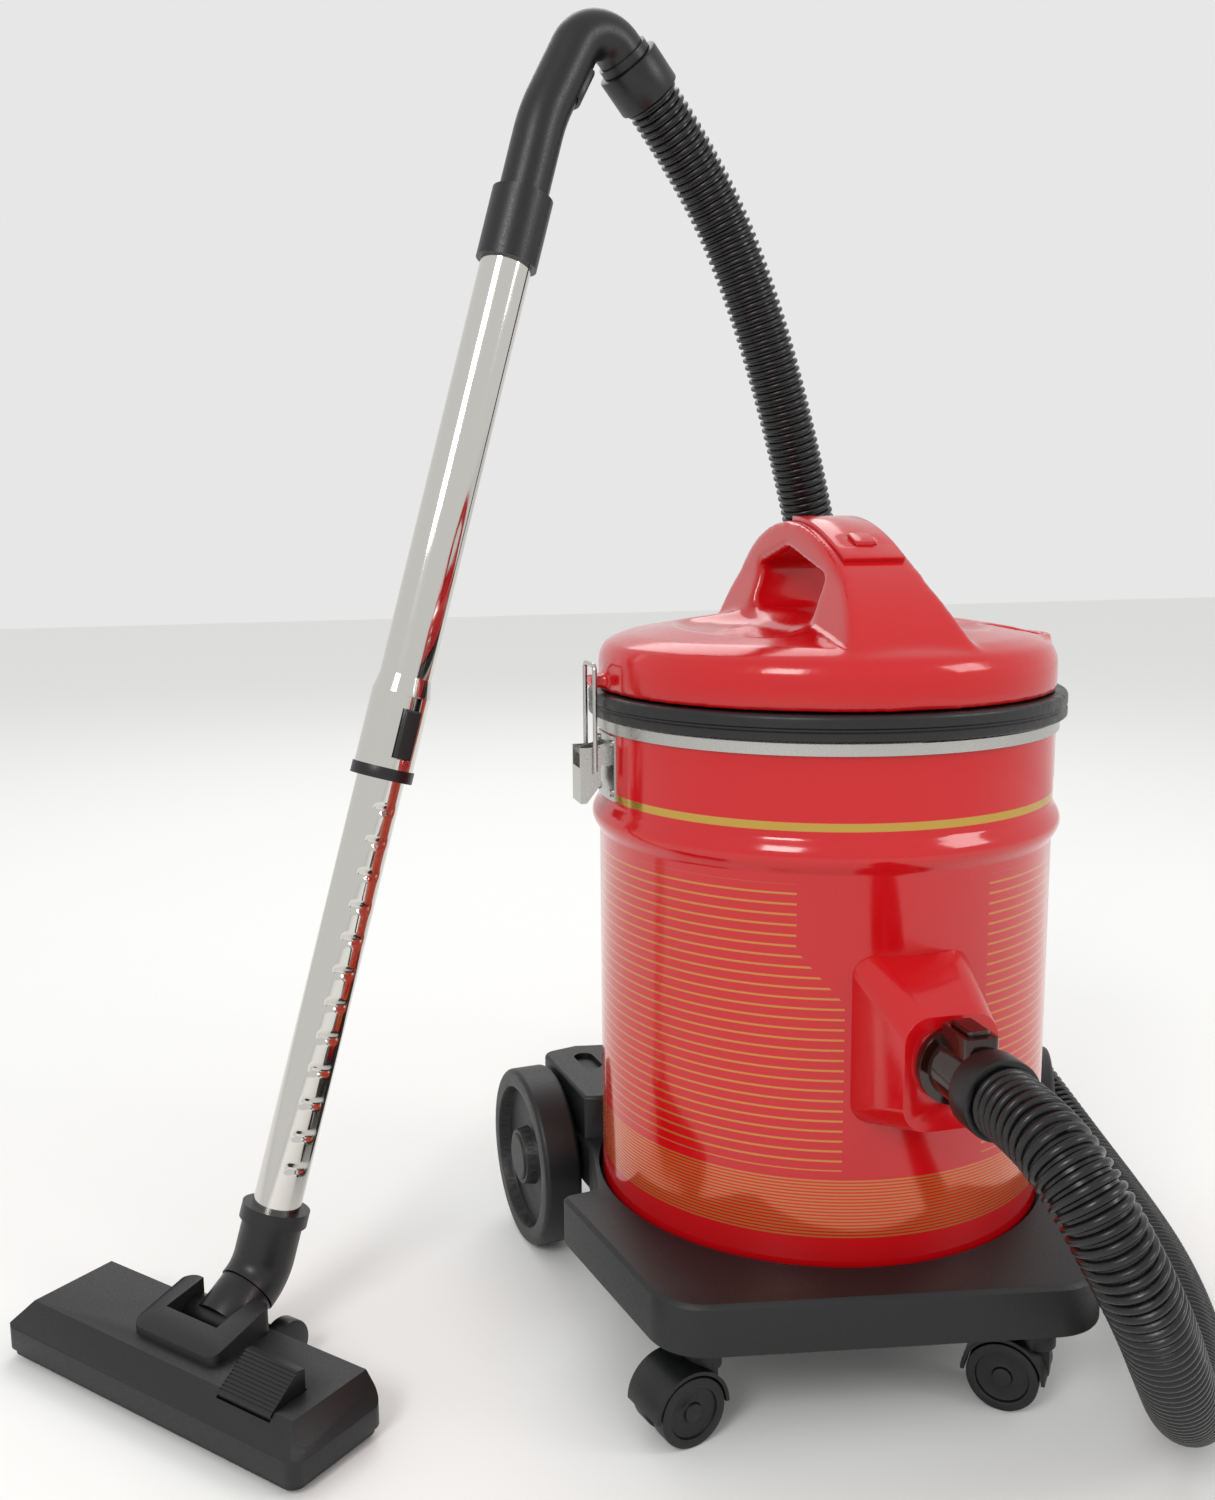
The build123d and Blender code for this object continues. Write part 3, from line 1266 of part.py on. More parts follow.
# ------------------------------------------------------------------ hose
# From the inlet, down to the floor, round the right rear wheel and up to the handle,
# given from the foot of the drum's axis.
HOSE_ROUTE = [
    (0, -250, 240),
    (0, -286, 240),
    (6, -316, 222),
    (20, -330, 190),
    (42, -326, 152),
    (70, -306, 106),
    (102, -276, 62),
    (138, -238, 33),
    (174, -192, 22),
    (206, -136, 21.2),
    (236, -66, 21),
    (260, 14, 22),
    (274, 92, 31),
    (266, 160, 66),
    (230, 208, 130),
    (180, 226, 214),
    (136, 224, 306),
    (104, 214, 404),
    (78, 198, 506),
    (48, 184, 608),
    (12, 172, 706),
    (-29.2, 166.5, 790.3),
    (-75.83, 148.09, 839.17),
]


def bend_radii(points):
    """Radius at each inner point: as large as its two runs allow."""
    radii = []
    for before, here, after in zip(points, points[1:], points[2:]):
        arrive = here - before
        leave = after - here
        half_turn = math.radians(arrive.get_angle(leave)) / 2
        radii.append(0.45 * min(arrive.length, leave.length) / math.tan(half_turn))
    return radii


hose_points = [at(*point) for point in HOSE_ROUTE]
hose_radii = bend_radii(hose_points)

with BuildPart() as hose:
    with BuildLine() as hose_line:
        FilletPolyline(*hose_points, radius=hose_radii)
    with BuildSketch(SIDE.offset(CUFF_FACE)):
        with Locations((0, INLET_Z)):
            Circle(HOSE_R)
    sweep()
keep(hose, "hose")

hose_length = sum(edge.length for edge in hose_line.edges())
print("hose radii", [round(radius) for radius in hose_radii])
print("hose length", round(hose_length), "volume ratio",
      round(hose.part.volume / (math.pi * HOSE_R ** 2 * hose_length), 4))
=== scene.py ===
import json
import math

import bpy
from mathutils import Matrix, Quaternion, Vector


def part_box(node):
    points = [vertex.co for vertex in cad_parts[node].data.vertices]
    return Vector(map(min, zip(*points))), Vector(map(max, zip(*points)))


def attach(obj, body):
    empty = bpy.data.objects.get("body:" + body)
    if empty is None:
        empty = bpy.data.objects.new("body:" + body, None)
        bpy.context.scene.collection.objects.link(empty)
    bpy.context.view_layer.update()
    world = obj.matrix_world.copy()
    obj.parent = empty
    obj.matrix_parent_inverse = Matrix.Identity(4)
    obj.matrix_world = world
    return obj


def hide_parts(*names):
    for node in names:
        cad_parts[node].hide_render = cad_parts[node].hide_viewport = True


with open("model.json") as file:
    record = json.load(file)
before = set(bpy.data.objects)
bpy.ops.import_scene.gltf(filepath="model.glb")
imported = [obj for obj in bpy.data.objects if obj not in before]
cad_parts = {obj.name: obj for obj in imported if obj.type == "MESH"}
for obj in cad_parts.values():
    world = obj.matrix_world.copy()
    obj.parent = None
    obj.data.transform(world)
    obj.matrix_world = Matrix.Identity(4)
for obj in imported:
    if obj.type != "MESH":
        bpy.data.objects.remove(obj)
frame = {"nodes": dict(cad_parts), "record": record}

bl_info = {
    "name": "Drum Vacuum",
    "version": (1, 0, 0),
    "blender": (4, 5, 0),
    "location": "3D View > Sidebar > Drum Vacuum",
    "description": "Builds the finished surfaces of a drum vacuum cleaner round its design frame",
    "category": "Object",
}

MM = 0.001
LOW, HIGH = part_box("drum_shell")
AXIS = Vector(((LOW.x + HIGH.x) / 2, (LOW.y + HIGH.y) / 2, 0))
BODY_OF = {node: body for body, nodes in frame["record"]["behaviour"]["bodies"].items() for node in nodes}
SLOT_OF = {part["node"]: part["material_slot"] for part in frame["record"]["subparts"]}

# The hose's route from the inlet to the handle, in metres from the foot of the drum's axis.
HOSE_ROUTE = [
    (0, -0.250, 0.240),
    (0, -0.286, 0.240),
    (0.006, -0.316, 0.222),
    (0.020, -0.330, 0.190),
    (0.042, -0.326, 0.152),
    (0.070, -0.306, 0.106),
    (0.102, -0.276, 0.062),
    (0.138, -0.238, 0.033),
    (0.174, -0.192, 0.022),
    (0.206, -0.136, 0.0212),
    (0.236, -0.066, 0.021),
    (0.260, 0.014, 0.022),
    (0.274, 0.092, 0.031),
    (0.266, 0.160, 0.066),
    (0.230, 0.208, 0.130),
    (0.180, 0.226, 0.214),
    (0.136, 0.224, 0.306),
    (0.104, 0.214, 0.404),
    (0.078, 0.198, 0.506),
    (0.048, 0.184, 0.608),
    (0.012, 0.172, 0.706),
    (-0.0292, 0.1665, 0.7903),
    (-0.07583, 0.14809, 0.83917),
]


# ------------------------------------------------------------------ colour and materials
def srgb(code):
    """The linear colour of an sRGB hex code."""
    parts = [int(code[place:place + 2], 16) / 255 for place in (0, 2, 4)]
    return tuple(p / 12.92 if p <= 0.04045 else ((p + 0.055) / 1.055) ** 2.4 for p in parts)


def add_node(material, kind, settings=None, inputs=None):
    """Add a node, with its settings, its socket values and its links."""
    node = material.node_tree.nodes.new(kind)
    for name, value in (settings or {}).items():
        setattr(node, name, value)
    for socket, value in (inputs or {}).items():
        if isinstance(value, bpy.types.NodeSocket):
            material.node_tree.links.new(value, node.inputs[socket])
        else:
            node.inputs[socket].default_value = value
    return node


def new_material(name, colour, roughness, metallic=0.0, coat=0.0):
    """A material with a plain shader; returns it with the shader and its object coordinates."""
    material = bpy.data.materials.new(name)
    material.use_nodes = True
    shader = material.node_tree.nodes["Principled BSDF"]
    shader.inputs["Base Color"].default_value = (*colour, 1)
    shader.inputs["Roughness"].default_value = roughness
    shader.inputs["Metallic"].default_value = metallic
    shader.inputs["Coat Weight"].default_value = coat
    shader.inputs["Coat Roughness"].default_value = 0.04
    place = add_node(material, "ShaderNodeTexCoord").outputs["Object"]
    return material, shader, place


def grain(material, shader, place, size, height, spread, roughness):
    """Surface grain: its size and height in millimetres, and how far it varies the roughness."""
    noise = add_node(material, "ShaderNodeTexNoise", None,
                     {"Vector": place, "Scale": 1 / (size * MM), "Detail": 3.0})
    bump = add_node(material, "ShaderNodeBump", None,
                    {"Height": noise.outputs["Fac"], "Strength": 0.6, "Distance": height * MM})
    range_of = add_node(material, "ShaderNodeMapRange", None, {
        "Value": noise.outputs["Fac"], "From Min": 0.3, "From Max": 0.7,
        "To Min": max(roughness - spread, 0.02), "To Max": roughness + spread})
    links = material.node_tree.links
    links.new(bump.outputs["Normal"], shader.inputs["Normal"])
    links.new(range_of.outputs["Result"], shader.inputs["Roughness"])


def moulded_abs(colour):
    """Glossy injection-moulded ABS: deep colour, clear reflections, a faint orange-peel."""
    material, shader, place = new_material("Glossy moulded ABS", colour, 0.16, coat=0.15)
    grain(material, shader, place, size=7, height=0.06, spread=0.04, roughness=0.16)
    return material


def baked_enamel(red, gold):
    """Baked enamel on sheet steel: a wet gloss over printed gold lines and a fine-lined band."""
    material, shader, place = new_material("Baked enamel on steel", red, 0.14, coat=0.25)

    def math_node(operation, first, second=0.0):
        return add_node(material, "ShaderNodeMath", {"operation": operation},
                        {0: first, 1: second}).outputs[0]

    centred = add_node(material, "ShaderNodeMapping", None,
                       {"Vector": place, "Location": tuple(-AXIS)}).outputs[0]
    split = add_node(material, "ShaderNodeSeparateXYZ", None, {0: centred})
    across, depth, height = split.outputs[0], split.outputs[1], split.outputs[2]
    turn = math_node("ARCTAN2", across, math_node("MULTIPLY", depth, -1.0))

    def between(value, low, high):
        return math_node("MULTIPLY", math_node("GREATER_THAN", value, low),
                         math_node("LESS_THAN", value, high))

    # Pinstripes stand 6.3 mm apart and stop short of the inlet, further off above it.
    pitch = 6.3 * MM
    phase = math_node("FRACT", math_node("DIVIDE", height, pitch))
    limit = add_node(material, "ShaderNodeMapRange", None, {
        "Value": height, "From Min": 0.262, "From Max": 0.294,
        "To Min": math.radians(-17), "To Max": math.radians(-28)}).outputs[0]
    left = math_node("LESS_THAN", turn, limit)
    right = math_node("GREATER_THAN", turn, math.radians(19))
    pins = math_node("MULTIPLY", math_node("LESS_THAN", phase, 0.2), between(height, 0.158, 0.334))
    pins = math_node("MULTIPLY", pins, math_node("MAXIMUM", left, right))
    # The band's own lines are finer, so it has a chosen pitch of 2.1 mm, which still shows.
    fine = math_node("LESS_THAN", math_node("FRACT", math_node("DIVIDE", height, 2.1 * MM)), 0.5)
    band = math_node("MULTIPLY", fine, between(height, 0.1146, 0.153))
    line = between(height, 0.3655, 0.3705)
    printed = math_node("MAXIMUM", math_node("MULTIPLY", pins, 0.55), math_node("MULTIPLY", band, 0.5))
    printed = math_node("MAXIMUM", printed, line)
    colour = add_node(material, "ShaderNodeMix", {"data_type": "RGBA"},
                      {"Factor": printed, 6: (*red, 1), 7: (*gold, 1)}).outputs[2]
    links = material.node_tree.links
    links.new(colour, shader.inputs["Base Color"])
    links.new(math_node("MULTIPLY", printed, 0.75), shader.inputs["Metallic"])
    grain(material, shader, place, size=16, height=0.12, spread=0.03, roughness=0.13)
    return material


def bright_steel():
    """Rolled bright steel: soft reflections with fine scratches."""
    material, shader, place = new_material("Bright rolled steel", srgb("B9B8B4"), 0.28, metallic=1.0)
    grain(material, shader, place, size=0.8, height=0.01, spread=0.08, roughness=0.28)
    return material


def chromed_steel():
    """Polished chrome plate on tube: mirror-like, with a slight waviness."""
    material, shader, place = new_material("Chrome plated tube", srgb("D4D2CC"), 0.07, metallic=1.0)
    grain(material, shader, place, size=30, height=0.05, spread=0.03, roughness=0.08)
    return material


def textured_polypropylene():
    """Spark-textured polypropylene: a fine matt grain that breaks up reflections."""
    material, shader, place = new_material("Textured polypropylene", srgb("0E0F11"), 0.5)
    grain(material, shader, place, size=0.9, height=0.05, spread=0.1, roughness=0.48)
    return material


def satin_abs():
    """Satin moulded ABS: dark grey-black with a low sheen."""
    material, shader, place = new_material("Satin moulded ABS", srgb("0C0C0E"), 0.38)
    grain(material, shader, place, size=1.2, height=0.03, spread=0.08, roughness=0.38)
    return material


def moulded_elastomer():
    """Moulded elastomer: black, softly shining, slightly uneven."""
    material, shader, place = new_material("Moulded elastomer", srgb("0A0A0B"), 0.4)
    grain(material, shader, place, size=5, height=0.08, spread=0.1, roughness=0.4)
    return material


def smoky_polycarbonate():
    """Smoke-brown polycarbonate: glossy, letting a little light through."""
    material, shader, place = new_material("Smoke brown polycarbonate", srgb("2A0F08"), 0.1, coat=0.3)
    shader.inputs["Transmission Weight"].default_value = 0.25
    grain(material, shader, place, size=9, height=0.04, spread=0.03, roughness=0.1)
    return material


def blown_polyethylene():
    """Blow-moulded polyethylene: black, waxy, with a soft shine on each rib."""
    material, shader, place = new_material("Blown polyethylene", srgb("08080A"), 0.32)
    grain(material, shader, place, size=2.5, height=0.05, spread=0.08, roughness=0.32)
    return material


def needled_felt():
    """Needled polyester felt: pale and fuzzy, with no shine."""
    material, shader, place = new_material("Needled felt", srgb("D8D3C4"), 0.9)
    shader.inputs["Sheen Weight"].default_value = 0.4
    grain(material, shader, place, size=1.5, height=0.5, spread=0.05, roughness=0.9)
    return material


def pressed_aluminium():
    """Pressed aluminium sheet: pale metal with drawn marks."""
    material, shader, place = new_material("Pressed aluminium", srgb("C4C6C8"), 0.35, metallic=1.0)
    grain(material, shader, place, size=2, height=0.02, spread=0.1, roughness=0.35)
    return material


def nylon_bristle():
    """Nylon bristle: black and streaked along its tufts, which stand 1.5 mm apart."""
    material, shader, place = new_material("Nylon bristle", srgb("0C0C0C"), 0.6)
    stretched = add_node(material, "ShaderNodeMapping", None, {"Vector": place, "Scale": (1, 1, 0.1)})
    grain(material, shader, stretched.outputs[0], size=1.5, height=0.6, spread=0.1, roughness=0.6)
    return material


# ------------------------------------------------------------------ making and finishing pieces
def only(piece):
    """Select one object alone and make it active."""
    bpy.ops.object.select_all(action="DESELECT")
    piece.select_set(True)
    bpy.context.view_layer.objects.active = piece


def tidy_mesh(piece, flatten=0.0):
    """Merge doubles, join flat facets if asked, and turn the faces outwards."""
    only(piece)
    bpy.ops.object.mode_set(mode="EDIT")
    bpy.ops.mesh.select_all(action="SELECT")
    bpy.ops.mesh.remove_doubles(threshold=0.01 * MM)
    if flatten:
        bpy.ops.mesh.dissolve_limited(angle_limit=math.radians(flatten))
    bpy.ops.mesh.normals_make_consistent(inside=False)
    bpy.ops.object.mode_set(mode="OBJECT")


def apply_modifier(piece, kind, **settings):
    """Add one modifier, set it and apply it."""
    only(piece)
    modifier = piece.modifiers.new(kind.title(), kind)
    for name, value in settings.items():
        setattr(modifier, name, value)
    bpy.ops.object.modifier_apply(modifier=modifier.name)


def smooth(piece, angle=35):
    """Shade smooth, with corners sharper than the angle kept."""
    only(piece)
    bpy.ops.object.shade_smooth_by_angle(angle=math.radians(angle))


def copy_node(node, name):
    """A cleaned copy of a design node, as a piece of its own."""
    piece = bpy.data.objects.new(name, frame["nodes"][node].data.copy())
    bpy.context.scene.collection.objects.link(piece)
    only(piece)
    bpy.ops.mesh.customdata_custom_splitnormals_clear()
    return piece


HEAD_FORWARD = Vector((-0.745, -0.667, 0))
HUMP_FROM = 40 * MM     # height where the hump leaves the cover
HUMP_REAR = 22 * MM     # how far behind the middle its slope starts
HUMP_RUN = 36 * MM      # and how long the slope is
HUMP_FALL = 0.78        # share of its height that the front loses


def slope_hump(piece):
    """Lower the front of the floor head's hump, so that its top rises to the rear."""
    low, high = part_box("nozzle_cover")
    middle = Vector(((low.x + high.x) / 2, (low.y + high.y) / 2, 0))
    for vertex in piece.data.vertices:
        above = vertex.co.z - HUMP_FROM
        if above > 0:
            ahead = (vertex.co - middle).dot(HEAD_FORWARD)
            share = min(max((ahead + HUMP_REAR) / HUMP_RUN, 0), 1)
            vertex.co.z -= above * HUMP_FALL * share


def dress(piece, node, material):
    """Give a piece its material and its body, and hide the node that it stands for."""
    piece.data.materials.clear()
    piece.data.materials.append(material)
    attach(piece, BODY_OF[node])
    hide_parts(node)


def eased(node, material, ease, segments=2):
    """A copy of a node with its corners eased by a small radius."""
    piece = copy_node(node, node + "_moulding")
    tidy_mesh(piece, flatten=1.0)
    if node == "nozzle_cover":
        slope_hump(piece)
    apply_modifier(piece, "BEVEL", width=ease, segments=segments, limit_method="ANGLE",
                   angle_limit=math.radians(38))
    tidy_mesh(piece)
    smooth(piece)
    dress(piece, node, material)
    return piece


def spun(name, outline, steps=144):
    """Spin a closed outline of (radius, height) in millimetres round the drum's axis."""
    points = [Vector((AXIS.x + radius * MM, AXIS.y, height * MM)) for radius, height in outline]
    bpy.ops.object.select_all(action="DESELECT")
    bpy.ops.mesh.primitive_plane_add(size=0.001, location=points[0])
    piece = bpy.context.object
    piece.name = name
    bpy.ops.object.transform_apply(location=True, rotation=False, scale=False)
    bpy.ops.object.mode_set(mode="EDIT")
    bpy.ops.mesh.merge(type="CENTER")
    for before, after in zip(points, points[1:] + points[:1]):
        bpy.ops.mesh.extrude_region_move(TRANSFORM_OT_translate={"value": after - before})
    bpy.ops.mesh.select_all(action="SELECT")
    bpy.ops.mesh.remove_doubles(threshold=0.01 * MM)
    bpy.ops.mesh.spin(steps=steps, angle=math.tau, center=AXIS, axis=(0, 0, 1))
    bpy.ops.object.mode_set(mode="OBJECT")
    tidy_mesh(piece)
    smooth(piece, 40)
    return piece


def arc(centre_r, centre_z, radius, start, end, steps=6):
    """Points of an arc in a spun outline, angles in degrees from outwards."""
    turns = [math.radians(start + (end - start) * step / steps) for step in range(steps + 1)]
    return [(centre_r + radius * math.cos(turn), centre_z + radius * math.sin(turn)) for turn in turns]


# ------------------------------------------------------------------ settings
class DrumVacuumSettings(bpy.types.PropertyGroup):
    """Sizes and colours a user would change."""

    red: bpy.props.FloatVectorProperty(
        name="Red", description="Colour of the lid and the drum", subtype="COLOR",
        size=3, min=0, max=1, default=srgb("BE0A12"))
    gold: bpy.props.FloatVectorProperty(
        name="Gold", description="Colour of the drum's printed lines", subtype="COLOR",
        size=3, min=0, max=1, default=srgb("C9A24A"))
    rib_pitch: bpy.props.FloatProperty(
        name="Rib Pitch", description="Distance from one rib of the hose to the next",
        unit="LENGTH", min=0.003, max=0.02, default=0.0056)
    corner: bpy.props.FloatProperty(
        name="Corner Radius", description="Radius of moulded corners",
        unit="LENGTH", min=0.0001, max=0.004, default=0.0012)
    voxel: bpy.props.FloatProperty(
        name="Lid Detail", description="Grid that the lid's blended surface is drawn on",
        unit="LENGTH", min=0.001, max=0.004, default=0.002)


# ------------------------------------------------------------------ operators
class DRUMVAC_OT_stage(bpy.types.Operator):
    """Set the floor, the lights and the camera"""

    bl_idname = "drumvac.stage"
    bl_label = "Stage"

    def execute(self, context):
        bpy.ops.object.select_all(action="DESELECT")
        bpy.ops.mesh.primitive_plane_add(size=14, location=(0, 0, -0.0002))
        floor = context.object
        floor.name = "studio_floor"
        paint, shader, place = new_material("Matt studio floor", srgb("F1F1EF"), 0.75)
        grain(paint, shader, place, size=40, height=0.1, spread=0.05, roughness=0.75)
        floor.data.materials.append(paint)
        for name, place_of, size, power in (
            ("key_light", (-1.6, -1.9, 2.1), 0.9, 30),
            ("fill_light", (2.0, -1.4, 1.6), 0.9, 14),
            ("back_light", (0.3, 2.0, 2.3), 1.6, 16),
        ):
            bpy.ops.object.light_add(type="AREA", location=place_of)
            light = context.object
            light.name = name
            light.data.size = size
            light.data.energy = power
            aim = Vector((0, 0, 0.4)) - Vector(place_of)
            light.rotation_euler = aim.to_track_quat("-Z", "Y").to_euler()
        world = bpy.data.worlds.new("studio_air")
        world.use_nodes = True
        world.node_tree.nodes["Background"].inputs["Color"].default_value = (*srgb("FFFFFF"), 1)
        world.node_tree.nodes["Background"].inputs["Strength"].default_value = 0.8
        context.scene.world = world
        context.scene.view_settings.view_transform = "Standard"

        camera = bpy.data.objects.new("camera", bpy.data.cameras.new("camera"))
        context.scene.collection.objects.link(camera)
        camera.data.sensor_fit = "VERTICAL"
        camera.data.sensor_height = 36.0
        camera.data.lens = 34.8
        camera.data.clip_start = 0.05
        camera.location = AXIS + Vector((-0.3815, -0.8980, 0.5474))
        look = Vector((0.2472, 0.9555, -0.1606)).to_track_quat("-Z", "Y")
        roll = Quaternion((0, 0, 1), -0.0089)
        camera.rotation_euler = (look @ roll).to_euler()
        context.scene.camera = camera
        return {"FINISHED"}


class DRUMVAC_OT_hose(bpy.types.Operator):
    """Make the corrugated hose along its route"""

    bl_idname = "drumvac.hose"
    bl_label = "Hose"

    CREST = 0.0200
    VALLEY = 0.0172
    SIDES = 36

    def centreline(self):
        """Points along the route's spline."""
        curve = bpy.data.curves.new("hose_route", "CURVE")
        curve.dimensions = "3D"
        curve.resolution_u = 24
        spline = curve.splines.new("NURBS")
        spline.points.add(len(HOSE_ROUTE) - 1)
        for point, place in zip(spline.points, HOSE_ROUTE):
            point.co = (*(AXIS + Vector(place)), 1)
        spline.order_u = 3
        spline.use_endpoint_u = True
        guide = bpy.data.objects.new("hose_route", curve)
        bpy.context.scene.collection.objects.link(guide)
        line = bpy.data.meshes.new_from_object(guide)
        points = [vertex.co.copy() for vertex in line.vertices]
        bpy.data.objects.remove(guide)
        bpy.data.meshes.remove(line)
        return points

    def execute(self, context):
        pitch = context.scene.drum_vacuum.rib_pitch
        points = self.centreline()
        lengths = [0.0]
        for before, after in zip(points, points[1:]):
            lengths.append(lengths[-1] + (after - before).length)
        total = lengths[-1]

        # One rib is a valley, a rise, a rounded crest and a fall.
        rib = [(0.0, self.VALLEY), (0.22, self.VALLEY), (0.36, self.CREST - 0.0006),
               (0.5, self.CREST), (0.72, self.CREST), (0.86, self.CREST - 0.0006)]
        ribs = round(total / pitch)
        rings = [((i + share) * total / ribs, radius) for i in range(ribs) for share, radius in rib]
        rings.append((total, self.VALLEY))

        verts, faces, path = [], [], []
        span = 0
        across = Vector((0, 0, 1))
        for along, radius in rings:
            while span < len(points) - 2 and lengths[span + 1] < along:
                span += 1
            share = (along - lengths[span]) / (lengths[span + 1] - lengths[span])
            centre = points[span].lerp(points[span + 1], share)
            ahead = (points[span + 1] - points[span]).normalized()
            across = (across - ahead * across.dot(ahead)).normalized()
            other = ahead.cross(across)
            path.append(centre)
            for side in range(self.SIDES):
                turn = math.tau * side / self.SIDES
                verts.append(centre + (across * math.cos(turn) + other * math.sin(turn)) * radius)
        for ring in range(len(rings) - 1):
            for side in range(self.SIDES):
                near, far = ring * self.SIDES, (ring + 1) * self.SIDES
                after = (side + 1) % self.SIDES
                faces.append((near + side, near + after, far + after, far + side))
        faces.append(tuple(range(self.SIDES)))
        faces.append(tuple(range(len(verts) - self.SIDES, len(verts))))
        mesh = bpy.data.meshes.new("corrugated_hose")
        mesh.from_pydata(verts, [], faces)
        hose = bpy.data.objects.new("corrugated_hose", mesh)
        context.scene.collection.objects.link(hose)
        tidy_mesh(hose)
        smooth(hose, 50)
        dress(hose, "hose", blown_polyethylene())
        satin = satin_abs()
        cuffs = [eased(node, satin, context.scene.drum_vacuum.corner)
                 for node in ("hose_cuff_drum", "hose_cuff_handle")]
        return {"FINISHED"}


class DRUMVAC_OT_lid(bpy.types.Operator):
    """Make the lid with its blended handle and finger recesses"""

    bl_idname = "drumvac.lid"
    bl_label = "Lid"

    DOME_LOW = 450 * MM
    DOME_HIGH = 500 * MM
    RECESS_SIDE = 60 * MM
    RECESS_FORWARD = 6 * MM
    RECESS_HALF_WIDE = 40 * MM
    RECESS_HALF_LONG = 78 * MM
    RECESS_DEEP = 10 * MM

    def execute(self, context):
        settings = context.scene.drum_vacuum
        lid = copy_node("head_cover", "lid_shell")
        tidy_mesh(lid)
        apply_modifier(lid, "REMESH", mode="VOXEL", voxel_size=settings.voxel)
        for vertex in lid.data.vertices:
            place = vertex.co - AXIS
            if not self.DOME_LOW < place.z < self.DOME_HIGH:
                continue
            sideways = (abs(place.x) - self.RECESS_SIDE) / self.RECESS_HALF_WIDE
            lengthways = (place.y + self.RECESS_FORWARD) / self.RECESS_HALF_LONG
            near = sideways ** 2 + lengthways ** 2
            if near < 1:
                vertex.co.z -= self.RECESS_DEEP * (1 - near ** 2)
        apply_modifier(lid, "SMOOTH", factor=0.5, iterations=22)
        tidy_mesh(lid)
        smooth(lid, 60)
        dress(lid, "head_cover", moulded_abs(tuple(settings.red)))
        eased("handle_pad", lid.data.materials[0], settings.corner)
        eased("power_button", lid.data.materials[0], settings.corner / 2)
        return {"FINISHED"}


class DRUMVAC_OT_drum(bpy.types.Operator):
    """Make the drum, its rim band and its inlet"""

    bl_idname = "drumvac.drum"
    bl_label = "Drum"

    def execute(self, context):
        settings = context.scene.drum_vacuum
        radius, sheet, base, top = 150.0, 1.2, 84.0, 416.0
        bead_low, bead_high, proud = 339.0, 362.0, 5.0
        bead = [(radius + proud * math.sin(math.pi * step / 12) ** 1.2,
                 bead_low + (bead_high - bead_low) * step / 12) for step in range(13)]
        foot = arc(radius - 6, base + 6, 6, -90, 0)
        outside = [(0, base), *foot, (radius, 200), *bead, (radius, top)]
        inside = [(max(r - sheet, 0), z if z > base + 7 else z + sheet) for r, z in reversed(outside)]
        drum = spun("enamelled_drum", outside + inside)
        dress(drum, "drum_shell", baked_enamel(tuple(settings.red), tuple(settings.gold)))

        band = [(142, 418.4), (156.2, 418.4), *arc(155.8, 419.6, 1.2, -60, 0, 3), (157, 423.5), (156, 424.4),
                (156, 425.6), (157, 426.6), *arc(154.4, 431.2, 2.6, 0, 90, 5), (142, 433.8)]
        dress(spun("rubber_rim", band), "rim_band", moulded_elastomer())
        red = moulded_abs(tuple(settings.red))
        eased("inlet_box", red, 2.2 * MM, segments=3)
        brown = smoky_polycarbonate()
        eased("inlet_connector", brown, settings.corner)
        eased("connector_button", brown, settings.corner / 3)
        return {"FINISHED"}


class DRUMVAC_OT_mouldings(bpy.types.Operator):
    """Ease the corners of the trolley, casters, wand fittings and floor head"""

    bl_idname = "drumvac.mouldings"
    bl_label = "Mouldings"

    def execute(self, context):
        corner = context.scene.drum_vacuum.corner
        deck = textured_polypropylene()
        satin = satin_abs()
        for node, material, ease in (
            ("trolley_deck", deck, corner),
            ("rear_wheel_left", deck, corner / 2),
            ("rear_wheel_right", deck, corner / 2),
            ("caster_fork_left", deck, corner / 2),
            ("caster_fork_right", deck, corner / 2),
            ("caster_wheels_left", deck, corner),
            ("caster_wheels_right", deck, corner),
            ("tube_collar", satin, corner / 3),
            ("lock_tab", satin, corner / 2),
            ("suction_slider", satin, corner / 2),
            ("neck_yoke", satin, corner / 2),
            ("neck_wheels", satin, corner),
            ("nozzle_cover", deck, 1.6 * corner),
            ("nozzle_sole", deck, corner / 2),
        ):
            eased(node, material, ease)
        return {"FINISHED"}


